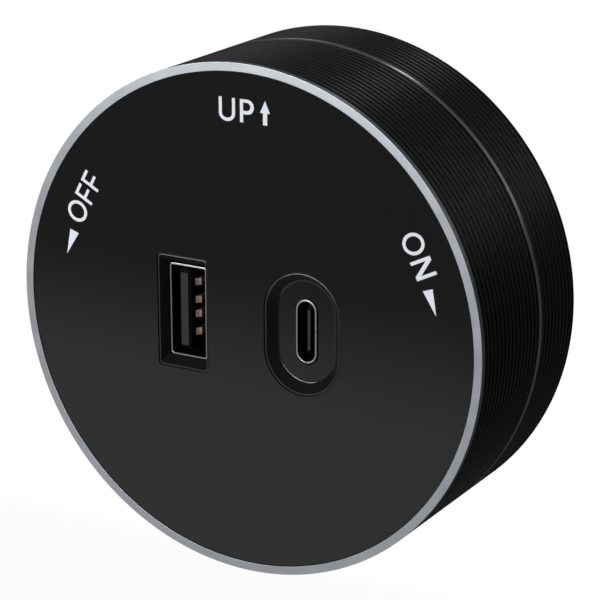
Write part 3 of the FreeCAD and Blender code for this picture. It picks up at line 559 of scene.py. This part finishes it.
# The finishes. A pair of numbers is the range of the roughness, and the last number is the specular level.
FACE = piano_black()
SATIN = satin_abs("spark_eroded_abs")
# Painted shade: the ring grooves' tone is darker than the rings', as shade in the sunk band; they are also
# rougher.
GROOVE_PAINTED_SHADE = satin_abs("ring_groove_abs_painted_shade", (0.6, 0.7), "#0f0f10", "#111112", 0.08)
# Painted shade: the port recess walls are darker than the face, as shade in the recess; they are also duller.
PORT_WALL_PAINTED_SHADE = satin_abs("port_recess_abs_painted_shade", (0.42, 0.48), "#0f0f10", "#111112", 0.25)
# Painted highlight: the lip is the face's polycarbonate, painted mid grey so that it shows as a light line.
LIP_PAINTED_HIGHLIGHT = satin_abs("port_lip_polycarbonate_painted_highlight", (0.3, 0.36), "#3d3e40", "#444547", 0.4)
# Painted shade: near black for the insides of the connector shells and the sides of the tongues.
PORT_PAINTED_SHADE = satin_abs("port_inside_painted_shade", (0.6, 0.7), "#040404", "#060606", 0.08)
RIM = turned_aluminium("rim_aluminium", "#abafb4", "#b5b9be", (0.36, 0.4))
SEAM = turned_aluminium("seam_aluminium", "#cfd1d4", "#d9dbdd", (0.17, 0.21))
NICKEL = plated_metal("nickel_plated_steel", "#a4a6a9", "#b0b2b5", (0.28, 0.34))
COPPER = plated_metal("contact_copper_alloy", "#e6c8ba", "#eed2c4", (0.55, 0.62))
# Painted shade: the USB-C pads' gold plate is painted near black, as the shade deep in the port.
PADS_PAINTED_SHADE = plated_metal("pad_gold_plate_painted_shade", "#1c1810", "#221d14", (0.5, 0.6))
GOLD = plated_metal("contact_gold_plate", "#c9a15a", "#d6b06a", (0.22, 0.3))
SPRING = plated_metal("spring_steel", "#9d9fa2", "#abadb0", (0.28, 0.36))
CAN = plated_metal("drawn_aluminium_can", "#a9abae", "#b7b9bc", (0.3, 0.38))
TONGUE = glass_filled("connector_nylon", "#0f1011", "#131415")
HOUSING = glass_filled("glass_filled_pbt", "#151516", "#1c1c1e")
SPACER = glass_filled("spacer_nylon", "#c9c8c2", "#d6d5cf")
CHIP = glass_filled("moulded_epoxy", "#141415", "#1b1b1c", (0.45, 0.55))
FERRITE = glass_filled("sintered_ferrite", "#232326", "#2c2c2f", (0.5, 0.65))
FUSE_BODY = glass_filled("fuse_ceramic", "#6b4a35", "#775440", (0.4, 0.5))
BOARD = board_laminate()
WINDING = wound_tape("winding_tape", "#c79a1e", "#d2a62b", 6.91)
FILM = wound_tape("film_capacitor_case", "#b9932b", "#c49e36", 15.08)
INK = printed_ink()


def fine_ring_tree():
    """One rounded ring swept round the axis, then repeated along it. Also gives each input's identifier."""
    tree = bpy.data.node_groups.new("fine_rings", "GeometryNodeTree")
    tree.interface.new_socket("Geometry", in_out="OUTPUT", socket_type="NodeSocketGeometry")
    kinds = dict.fromkeys(("Radius", "Height", "Width", "Edge", "Pitch", "First"), "NodeSocketFloat")
    kinds.update({"Count": "NodeSocketInt", "Steps": "NodeSocketInt", "Material": "NodeSocketMaterial"})
    names = {
        label: tree.interface.new_socket(label, in_out="INPUT", socket_type=kind).identifier
        for label, kind in kinds.items()
    }
    given = add(tree, "NodeGroupInput").outputs
    centre = add(tree, "ShaderNodeMath", {0: given["Radius"], 1: given["Height"]}, operation="SUBTRACT")
    circle = add(
        tree,
        "GeometryNodeCurvePrimitiveCircle",
        {"Radius": centre.outputs[0], "Resolution": given["Steps"]},
    )
    thickness = add(tree, "ShaderNodeMath", {0: given["Height"], 1: 2.0}, operation="MULTIPLY")
    section = add(
        tree,
        "GeometryNodeCurvePrimitiveQuadrilateral",
        {"Width": thickness.outputs[0], "Height": given["Width"]},
    )
    rounded = add(
        tree,
        "GeometryNodeFilletCurve",
        {"Curve": section.outputs[0], "Radius": given["Edge"], "Count": 2, "Limit Radius": True},
        mode="POLY",
    )
    sweep = add(
        tree, "GeometryNodeCurveToMesh", {"Curve": circle.outputs[0], "Profile Curve": rounded.outputs[0]}
    )
    upright = add(
        tree, "GeometryNodeTransform", {"Geometry": sweep.outputs[0], "Rotation": (-math.pi / 2, 0, 0)}
    )
    start = add(tree, "ShaderNodeCombineXYZ", {"Y": given["First"]}).outputs[0]
    step = add(tree, "ShaderNodeCombineXYZ", {"Y": given["Pitch"]}).outputs[0]
    line = add(
        tree, "GeometryNodeMeshLine", {"Count": given["Count"], "Start Location": start, "Offset": step}
    )
    rings = add(
        tree, "GeometryNodeInstanceOnPoints", {"Points": line.outputs[0], "Instance": upright.outputs[0]}
    )
    real = add(tree, "GeometryNodeRealizeInstances", {0: rings.outputs[0]})
    coated = add(
        tree, "GeometryNodeSetMaterial", {"Geometry": real.outputs[0], "Material": given["Material"]}
    )
    add(tree, "NodeGroupOutput", {0: coated.outputs[0]})
    return tree, names


RING_TREE, RING_INPUTS = fine_ring_tree()


def fine_rings(name, first, count, material):
    """The plain mesh of a run of rings, from the depth of the first ring's middle."""
    holder = new_object(name, bpy.data.meshes.new(name))
    modifier = holder.modifiers.new("rings", "NODES")
    modifier.node_group = RING_TREE
    sizes = {
        "Radius": BODY_RADIUS * MM,
        "Height": RING_HEIGHT * MM,
        "Width": RING_WIDTH * MM,
        "Edge": RING_EDGE * MM,
        "Pitch": RING_PITCH * MM,
        "First": (first - BODY_DEPTH) * MM,
        "Count": count,
        "Steps": ROUND_STEPS,
        "Material": material,
    }
    for label, value in sizes.items():
        modifier[RING_INPUTS[label]] = value
    return smoothed(plain_mesh(holder), 14)


def groove_run(first, count):
    """The section of the sunk band that a run of rings stands in, with a land at both ends."""
    bottom = BODY_RADIUS - RING_HEIGHT
    half = (RING_PITCH - RING_WIDTH) / 2
    start, end = first - half, first + RING_PITCH * count + half
    return [
        (BODY_RADIUS, start, RING_EDGE),
        (bottom, start + GROOVE_ROUNDING, GROOVE_ROUNDING),
        (bottom, end - GROOVE_ROUNDING, GROOVE_ROUNDING),
        (BODY_RADIUS, end, RING_EDGE),
    ]


def ringed(sleeve, rings, body, node, section, first, count):
    """A turned body with a sunk band, duller and painted darker as shade, and the fine rings that stand in
    it.
    """
    mesh = bmesh.new()
    lathe(mesh, section)
    data = finish_mesh(mesh, sleeve, angle=14)
    # The sunk band's faces take the groove finish, whose darker tone is painted shade.
    for face in data.polygons:
        radius = math.hypot(face.center.x, face.center.z) / MM
        face.material_index = SHELL_BORE + 1 < radius < BODY_RADIUS - RING_EDGE
    piece(sleeve, data, body, (SATIN, GROOVE_PAINTED_SHADE), (node,))
    data = fine_rings(rings, first + RING_PITCH / 2, count, SATIN)
    piece(rings, data, body, (SATIN,))


def make_front_body():
    """The ringed front body, behind the rim."""
    section = [(SHELL_BORE, RIM_BAND), (BODY_RADIUS, RIM_BAND)]
    section += groove_run(FRONT_GROOVE, FRONT_RINGS)
    section += [(BODY_RADIUS, FRONT_END, 0.06), (SHELL_BORE, FRONT_END)]
    section = softened(section, 0.04)
    ringed("front_sleeve", "front_rings", "front", "front_shell", section, FRONT_GROOVE, FRONT_RINGS)


def make_rim():
    """The bright bezel round the face."""
    mesh = bmesh.new()
    section = [
        (RIM_INNER, 0.0, 0.06),
        (BODY_RADIUS, 0.0, 0.05),
        (BODY_RADIUS, RIM_BAND, 0.05),
        (RIM_INNER, RIM_BAND, 0.02),
    ]
    lathe(mesh, softened(section, steps=4))
    data = finish_mesh(mesh, "rim_bezel", angle=8)
    piece("rim_bezel", data, "front", (RIM,), ("rim_ring",))


def make_seam():
    """The bright ring between the two bodies, with a sloping front edge."""
    mesh = bmesh.new()
    section = [
        (SHELL_BORE, SEAM_FRONT, 0.02),
        (BODY_RADIUS - 0.07, SEAM_FRONT + 0.02, 0.03),
        (BODY_RADIUS, SEAM_FRONT + 0.12, 0.04),
        (BODY_RADIUS, SEAM_REAR, 0.05),
        (SHELL_BORE, SEAM_REAR, 0.02),
    ]
    lathe(mesh, softened(section, steps=5))
    data = finish_mesh(mesh, "seam_band", angle=8)
    piece("seam_band", data, "base", (SEAM,), ("seam_ring",))


def make_base_body():
    """The ringed rear body, with the hub's bearing in its floor and two keys behind."""
    front = SEAM_REAR + SEAM_GAP
    section = [(SHELL_BORE, THIN_FLOOR), (SHELL_BORE, front), (BODY_RADIUS, front, 0.03)]
    section += groove_run(REAR_GROOVE, REAR_RINGS)
    section += [
        (BODY_RADIUS, BODY_DEPTH, 0.12),
        (COUNTERBORE_RADIUS, BODY_DEPTH, 0.25),
        (COUNTERBORE_RADIUS, COUNTER_FLOOR, 0.1),
        (HUB_BORE, COUNTER_FLOOR, 0.1),
        (HUB_BORE, BASE_INNER),
        (BEARING_RADIUS, BASE_INNER),
        (BEARING_RADIUS, THIN_FLOOR),
    ]
    section = softened(section, 0.05)
    ringed("base_cup", "base_rings", "base", "base_shell", section, REAR_GROOVE, REAR_RINGS)

    keys = bmesh.new()
    half = KEY_WIDTH / 2
    for side in (-1, 1):
        near, far = sorted((KEY_START * side, KEY_END * side))
        box_mesh(keys, (near, BODY_DEPTH - KEY_ROOT, -half), (far, BODY_DEPTH + KEY_HEIGHT, half))
    data = bevelled(finish_mesh(keys, "keys_plain"), "track_keys", 0.5, 3)
    piece("track_keys", data, "base", (SATIN,))


def make_face():
    """The glossy plate with a lip, a bevelled wall and an opening at each port, closed behind by a boss."""
    mesh = bmesh.new()
    edge, front_edge = round_outline(PLATE_EDGE), round_outline(PLATE_EDGE - PLATE_ROUNDING)
    rim_rows = wall(mesh, [(front_edge, FACE_DEPTH), (edge, FACE_DEPTH + PLATE_ROUNDING), (edge, RIM_BAND)])
    mouth = [
        (loop_points(USB_A_ACROSS, USB_A_MOUTH_UP, width, tall, corner, 6), depth)
        for width, tall, corner, depth in USB_A_MOUTH
    ]
    # The dull recess strips are painted darker as shade, and the lip strip is painted grey as a highlight.
    rows_a = wall(mesh, mouth, second=USB_A_DULL_PAINTED_SHADE, third=MOUTH_LIP_PAINTED_HIGHLIGHT)
    mouth = [
        (loop_points(USB_C_MOUTH_ACROSS, 0, width, tall, corner or width / 2, 16), depth)
        for width, tall, corner, depth in USB_C_MOUTH
    ]
    rows_c = wall(mesh, mouth, second=USB_C_DULL_PAINTED_SHADE, third=MOUTH_LIP_PAINTED_HIGHLIGHT)
    for end in (0, -1):
        fill_between(mesh, [rows[end] for rows in (rim_rows, rows_a, rows_c)])
    data = finish_mesh(mesh, "face_disc", angle=24)
    piece("face_disc", data, "front", (FACE, PORT_WALL_PAINTED_SHADE, LIP_PAINTED_HIGHLIGHT), ("face_plate",))


def make_port_shell(name, node, across, width, tall, corner, leg):
    """A connector's tube, folded from sheet, with a rounded front edge and a leg at each end."""
    mesh = bmesh.new()
    rows = [
        (0.0, PORT_BOARD),
        (0.0, MOUTH_FLOOR + 0.05),
        (0.02, MOUTH_FLOOR + 0.01),
        (0.06, MOUTH_FLOOR),
        (SHELL_WALL - 0.08, MOUTH_FLOOR),
        (SHELL_WALL - 0.03, MOUTH_FLOOR + 0.03),
        (SHELL_WALL, MOUTH_FLOOR + 0.12),
        (SHELL_WALL, PORT_BOARD),
    ]
    loops = [
        (loop_points(across, 0, width - 2 * inset, tall - 2 * inset, corner - inset * 0.8, 8), depth)
        for inset, depth in rows
    ]
    # The inner fillet and the inner wall take the near-black painted shade.
    wall(mesh, loops, closed=True, second=(4, 5, 6))
    half = LEG_WIDTH / 2
    for side in (-1, 1):
        near, far = sorted((leg * side, (leg - SHELL_WALL) * side))
        box_mesh(mesh, (across - half, PORT_BOARD, near), (across + half, PORT_BOARD + LEG_LENGTH, far))
    data = finish_mesh(mesh, name, angle=30)
    piece(name, data, "front", (NICKEL, PORT_PAINTED_SHADE), (node,))


def make_tongue(name, node, sides, rise, tip, tip_size, block):
    """A tongue with a chamfered tip, on the block that closes the rear of its shell."""
    mesh = bmesh.new()
    middle, width = sum(sides) / 2, sides[1] - sides[0]
    small = loop_points(middle, 0, *tip_size, TONGUE_CORNER, 2)
    full = loop_points(middle, 0, width, 2 * rise, TONGUE_CORNER, 2)
    loops = [(small, tip), (full, tip + TONGUE_CHAMFER), (full, TONGUE_ROOT + TONGUE_SUNK)]
    # The chamfer and the sides take the near-black painted shade; the tip keeps the nylon's tone.
    rows = wall(mesh, loops, second=(0, 1))
    mesh.faces.new(rows[0])
    mesh.faces.new(rows[-1])
    left, right, half = block
    box_mesh(mesh, (left, TONGUE_ROOT, -half), (right, PORT_BOARD, half))
    data = finish_mesh(mesh, name, angle=20)
    piece(name, data, "front", (TONGUE, PORT_PAINTED_SHADE), (node,))


def make_contacts():
    """Four sprung strips on the tongue, each raised where a plug meets it."""
    mesh = bmesh.new()
    section = [(STRIPS_ACROSS + rise, depth) for rise, depth in STRIP_SECTION]
    for place in STRIP_PLACES:
        strip(mesh, section, place - STRIP_WIDTH / 2, place + STRIP_WIDTH / 2)
    data = bevelled(finish_mesh(mesh, "strips_plain"), "usb_a_strips", 0.04)
    piece("usb_a_strips", data, "front", (COPPER,), ("usb_a_contacts",))


def make_ports():
    """Both connectors: shells, tongues and contacts."""
    make_port_shell(
        "usb_a_sleeve",
        "usb_a_shell",
        across=USB_A_ACROSS + 0.11,
        width=5.8,
        tall=12.86,
        corner=0.45,
        leg=6.47,
    )
    make_port_shell(
        "usb_c_sleeve",
        "usb_c_shell",
        across=USB_C_ACROSS,
        width=3.1,
        tall=8.74,
        corner=1.55,
        leg=4.37,
    )
    make_tongue(
        "usb_a_insulator",
        "usb_a_tongue",
        sides=(-11.16, -9.36),
        rise=5.55,
        tip=1.93,
        tip_size=(1.12, 10.17),
        block=(-11.75, -6.75, 6.2),
    )
    make_tongue(
        "usb_c_insulator",
        "usb_c_tongue",
        sides=(8.45, 9.15),
        rise=3.35,
        tip=2.23,
        tip_size=(0.42, 5.6),
        block=(7.62, 10.18, 2.84),
    )
    make_contacts()
    edged("usb_c_contacts", "usb_c_pads", 0.02, "front", PADS_PAINTED_SHADE)


def arc(across, up, width, rise, start, end, steps):
    """Points along an oval, between two angles in degrees."""
    angles = (math.radians(start + (end - start) * k / steps) for k in range(steps + 1))
    return [(across + width * math.cos(angle), up + rise * math.sin(angle)) for angle in angles]


def letter_o(across, up):
    """An oval ring about its middle."""
    width, rise, stroke = 0.0415, 0.0455, 0.0131
    return [arc(across, up, width - inset, rise - inset, 0, 352, 44) for inset in (0, stroke)]


def letter_f(left, low, high):
    """An upright with two arms."""
    stem, arm = left + 0.0122, left + 0.049
    top_arm, top_bar = left + 0.05, high - 0.0126
    bar_low, bar_high = low + 0.0329, low + 0.0453
    return [
        [
            (left, low),
            (stem, low),
            (stem, bar_low),
            (arm, bar_low),
            (arm, bar_high),
            (stem, bar_high),
            (stem, top_bar),
            (top_arm, top_bar),
            (top_arm, high),
            (left, high),
        ]
    ]


def letter_n(left, right, low, high):
    """Two uprights and a slanted stroke."""
    stroke, slant, drop = 0.0130, 0.0165, 0.0235
    return [
        [
            (left, low),
            (left + stroke, low),
            (left + stroke, high - drop),
            (right - slant, low),
            (right, low),
            (right, high),
            (right - stroke, high),
            (right - stroke, low + drop),
            (left + slant, high),
            (left, high),
        ]
    ]


def letter_u(left, right, low, high):
    """Two uprights joined by a bowl."""
    stroke, bowl_stroke = 0.0132, 0.0128
    middle = (left + right) / 2
    outer = (right - left) / 2
    inner, rise = outer - stroke, outer * 0.86
    return [
        [(left, high)]
        + arc(middle, low + rise, outer, rise, 180, 360, 20)
        + [(right, high), (right - stroke, high)]
        + arc(middle, low + rise, inner, rise - bowl_stroke, 360, 180, 20)
        + [(left + stroke, high)]
    ]


def letter_p(left, right, low, high):
    """An upright with a bowl and the hole in it."""
    stem = left + 0.0138
    bowl_low, hole_low, hole_high, hole_right = 0.811, 0.824, 0.855, 0.040
    bowl, hole = (high - bowl_low) / 2, (hole_high - hole_low) / 2
    outer = arc(right - bowl, bowl_low + bowl, bowl, bowl, -90, 90, 16)
    inner = arc(hole_right - hole, hole_low + hole, hole, hole, -90, 90, 12)
    return [
        [(left, low), (stem, low), (stem, bowl_low)] + outer + [(left, high)],
        [(stem, hole_low)] + inner + [(stem, hole_high)],
    ]


def turned_outlines(outlines, reading):
    """Outlines written along u and v, set so that u runs in the reading direction, in degrees."""
    turn = Matrix.Rotation(math.radians(reading), 2)
    return [[tuple(turn @ Vector(point)) for point in loop] for loop in outlines]


def make_marks():
    """UP, OFF and ON with their arrows, as a thin layer of ink. Sizes are in body radii."""
    up_arrow = [
        (0.103, 0.870),
        (0.081, 0.824),
        (0.0935, 0.824),
        (0.0935, 0.779),
        (0.1115, 0.779),
        (0.1115, 0.824),
        (0.1235, 0.824),
    ]
    shapes = [
        letter_u(-0.0955, -0.0255, 0.7775, 0.867),
        letter_p(-0.0045, 0.0555, 0.780, 0.867),
        [up_arrow],
        turned_outlines(letter_o(-0.0526, 0.8171), OFF_READING),
        turned_outlines(letter_f(0.0049, 0.7737, 0.860), OFF_READING),
        turned_outlines(letter_f(0.0689, 0.7737, 0.860), OFF_READING),
        [[(-0.7815, 0.265), (-0.742, 0.252), (-0.800, 0.1625)]],
        turned_outlines(letter_o(-0.0611, 0.827), ON_READING),
        turned_outlines(letter_n(-0.0023, 0.0700, 0.783, 0.871), ON_READING),
        [[(0.7565, 0.247), (0.7965, 0.2605), (0.8125, 0.159)]],
    ]
    mesh = bmesh.new()
    for shape in shapes:
        loops = [[(x * BODY_RADIUS, z * BODY_RADIUS) for x, z in loop] for loop in shape]
        rows = [wall(mesh, [(loop, FACE_DEPTH - INK_PROUD), (loop, FACE_DEPTH + INK_SUNK)]) for loop in loops]
        for end in (0, 1):
            fill_between(mesh, [row[end] for row in rows])
    data = finish_mesh(mesh, "printed_marks", weld=0.0001, angle=20)
    piece("printed_marks", data, "front", (INK,))


def make_rear():
    """The head, its lid and the contacts, with rounded edges."""
    edged("contact_head", "head_moulding", 0.3, "front", HOUSING)
    edged("head_cover", "head_lid", 0.25, "front", HOUSING)
    edged("earth_contact", "earth_strip", 0.08, "front", COPPER)
    edged("live_contact", "live_shoe_block", 0.25, "live_shoe", COPPER)
    edged("neutral_contact", "neutral_shoe_block", 0.25, "neutral_shoe", COPPER)


def dress_inside():
    """Give the parts that keep their own shape their materials."""
    finishes = {
        "carrier": HOUSING,
        "detent_spring": SPRING,
        "stem_clip": SPRING,
        "live_spring": SPRING,
        "neutral_spring": SPRING,
        "live_terminal": COPPER,
        "neutral_terminal": COPPER,
        "live_lead": COPPER,
        "neutral_lead": COPPER,
        "earth_lead": COPPER,
        "port_board": BOARD,
        "power_board": BOARD,
        "board_spacers": SPACER,
        "peg_clips": SPRING,
        "link_pins": GOLD,
        "transformer_core": FERRITE,
        "transformer_winding": WINDING,
        "input_capacitor": FILM,
        "output_capacitor": CAN,
        "fuse": FUSE_BODY,
        "bridge_rectifier": CHIP,
        "control_chip": CHIP,
    }
    for name, material in finishes.items():
        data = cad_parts[name].data
        data.materials.clear()
        data.materials.append(material)


def soft_edge(tree, place, direction, start, end, low, high):
    """A smooth change from low to high along a direction, between two distances in millimetres."""
    along = add(tree, "ShaderNodeVectorMath", {0: place, 1: direction}, operation="DOT_PRODUCT")
    spread = {"From Min": start * MM, "From Max": end * MM, "To Min": low, "To Max": high}
    spread["Value"] = along.outputs["Value"]
    return add(tree, "ShaderNodeMapRange", spread, interpolation_type="SMOOTHSTEP").outputs["Result"]


def cove_paper_painted_pool():
    """White paper with a painted pool of light. The camera sees it white all over, and gloss sees the pool.
    """
    material, tree, place = surface("cove_paper_painted_pool", Roughness=0.9, Specular_IOR_Level=0.0)
    paper = tree.nodes["Principled BSDF"]
    painted_pool = 1.0
    for direction, near, far in PAINTED_POOL_EDGES:
        side = soft_edge(tree, place, direction, near, far, 1, 0)
        painted_pool = add(tree, "ShaderNodeMath", {0: side, 1: painted_pool}, operation="MULTIPLY").outputs[0]
    # The paper's colour is a painted pool of light: pale near the object and dark grey beyond.
    painted_pool_tones = {0: painted_pool, 6: colour("#4a4a4a"), 7: colour("#f4f4f4")}
    tone = add(tree, "ShaderNodeMix", painted_pool_tones, data_type="RGBA").outputs[2]
    tree.links.new(tone, paper.inputs["Base Color"])

    rays = add(tree, "ShaderNodeLightPath").outputs
    camera = rays["Is Camera Ray"]
    mirrored = add(
        tree,
        "ShaderNodeMath",
        {0: rays["Is Glossy Ray"], 1: rays["Is Transmission Ray"]},
        operation="MAXIMUM",
    ).outputs[0]
    # Gloss and transmission rays see painted light: the pool's level over a wall that brightens upwards.
    rise = soft_edge(tree, place, (0, 0, 1), *PAINTED_GLOW_HEIGHTS, FLOOR_PAINTED_GLOW, WALL_PAINTED_GLOW)
    painted_glare = {0: painted_pool, 1: PAINTED_POOL_GLOW, 2: rise}
    level = add(tree, "ShaderNodeMath", painted_glare, operation="MULTIPLY_ADD").outputs[0]
    level = add(tree, "ShaderNodeMath", {0: level, 1: camera}, operation="MAXIMUM").outputs[0]
    unshaded = {0: painted_pool, 1: -SHADOW_SHARE, 2: 1.0}
    lit = add(tree, "ShaderNodeMath", unshaded, operation="MULTIPLY_ADD").outputs[0]
    seen = add(tree, "ShaderNodeMath", {0: camera, 1: lit}, operation="MULTIPLY").outputs[0]
    share = add(tree, "ShaderNodeMath", {0: seen, 1: mirrored}, operation="MAXIMUM").outputs[0]
    painted_glow = add(tree, "ShaderNodeEmission", {"Color": (1, 1, 1, 1), "Strength": level})
    mix = add(tree, "ShaderNodeMixShader", {0: share, 1: paper.outputs[0], 2: painted_glow.outputs[0]})
    tree.links.new(mix.outputs[0], tree.nodes["Material Output"].inputs["Surface"])
    return material


def make_cove():
    """A pale floor that curves up into a wall all round."""
    mesh = bmesh.new()
    level = -BODY_RADIUS - FLOOR_GAP
    profile = [(COVE_CENTRE, level), (COVE_FLOOR, level)]
    for k in range(1, COVE_CURVE_STEPS + 1):
        turn = math.pi / 2 * k / COVE_CURVE_STEPS
        profile.append((COVE_FLOOR + COVE_CURVE * math.sin(turn), level + COVE_CURVE * (1 - math.cos(turn))))
    profile.append((COVE_FLOOR + COVE_CURVE, COVE_TOP))
    rows = []
    for k in range(COVE_STEPS):
        turn = 2 * math.pi * k / COVE_STEPS
        points = [Vector((r * math.cos(turn), r * math.sin(turn), z)) * MM for r, z in profile]
        rows.append([mesh.verts.new(point) for point in points])
    for k, row in enumerate(rows):
        after = rows[(k + 1) % len(rows)]
        for j in range(len(profile) - 1):
            mesh.faces.new((row[j], after[j], after[j + 1], row[j + 1]))
    mesh.faces.new([row[0] for row in rows])
    data = bpy.data.meshes.new("studio_cove")
    bmesh.ops.recalc_face_normals(mesh, faces=mesh.faces)
    mesh.to_mesh(data)
    mesh.free()
    cove = new_object("studio_cove", data)
    data.materials.append(cove_paper_painted_pool())


def soft_box(name, place, size, power):
    """A rectangular soft light that looks at the object."""
    data = bpy.data.lights.new(name, "AREA")
    data.shape = "RECTANGLE"
    data.size, data.size_y = size
    data.energy = power
    lamp = new_object(name, data)
    lamp.location = place
    aim = Vector(LAMP_AIM) - Vector(place)
    lamp.rotation_euler = aim.to_track_quat("-Z", "Y").to_euler()


def make_studio():
    """The cove, the lamps and an even grey world."""
    make_cove()
    for lamp in LAMPS:
        soft_box(*lamp)
    world = bpy.data.worlds.new("studio")
    bpy.context.scene.world = world
    world.use_nodes = True
    background = world.node_tree.nodes["Background"]
    background.inputs["Color"].default_value = (1, 1, 1, 1)
    background.inputs["Strength"].default_value = WORLD_LEVEL


def make_camera():
    """The photograph's view: from the right, a little above, with a long lens."""
    data = bpy.data.cameras.new("camera")
    data.sensor_width = CAMERA_SENSOR
    data.lens = CAMERA_LENS
    data.clip_start = 0.01
    data.clip_end = 10
    camera = new_object("camera", data)
    turn = Matrix.Rotation(math.radians(CAMERA_AZIMUTH), 4, "Z")
    tilt = Matrix.Rotation(math.radians(90 - CAMERA_ELEVATION), 4, "X")
    roll = Matrix.Rotation(math.radians(CAMERA_ROLL), 4, "Z")
    camera.matrix_world = Matrix.Translation(Vector(CAMERA_PLACE) * MM) @ turn @ tilt @ roll
    bpy.context.scene.camera = camera


make_rim()
make_face()
make_front_body()
make_seam()
make_base_body()
make_ports()
make_marks()
make_rear()
dress_inside()
make_studio()
make_camera()

bpy.context.scene.view_settings.view_transform = "Standard"
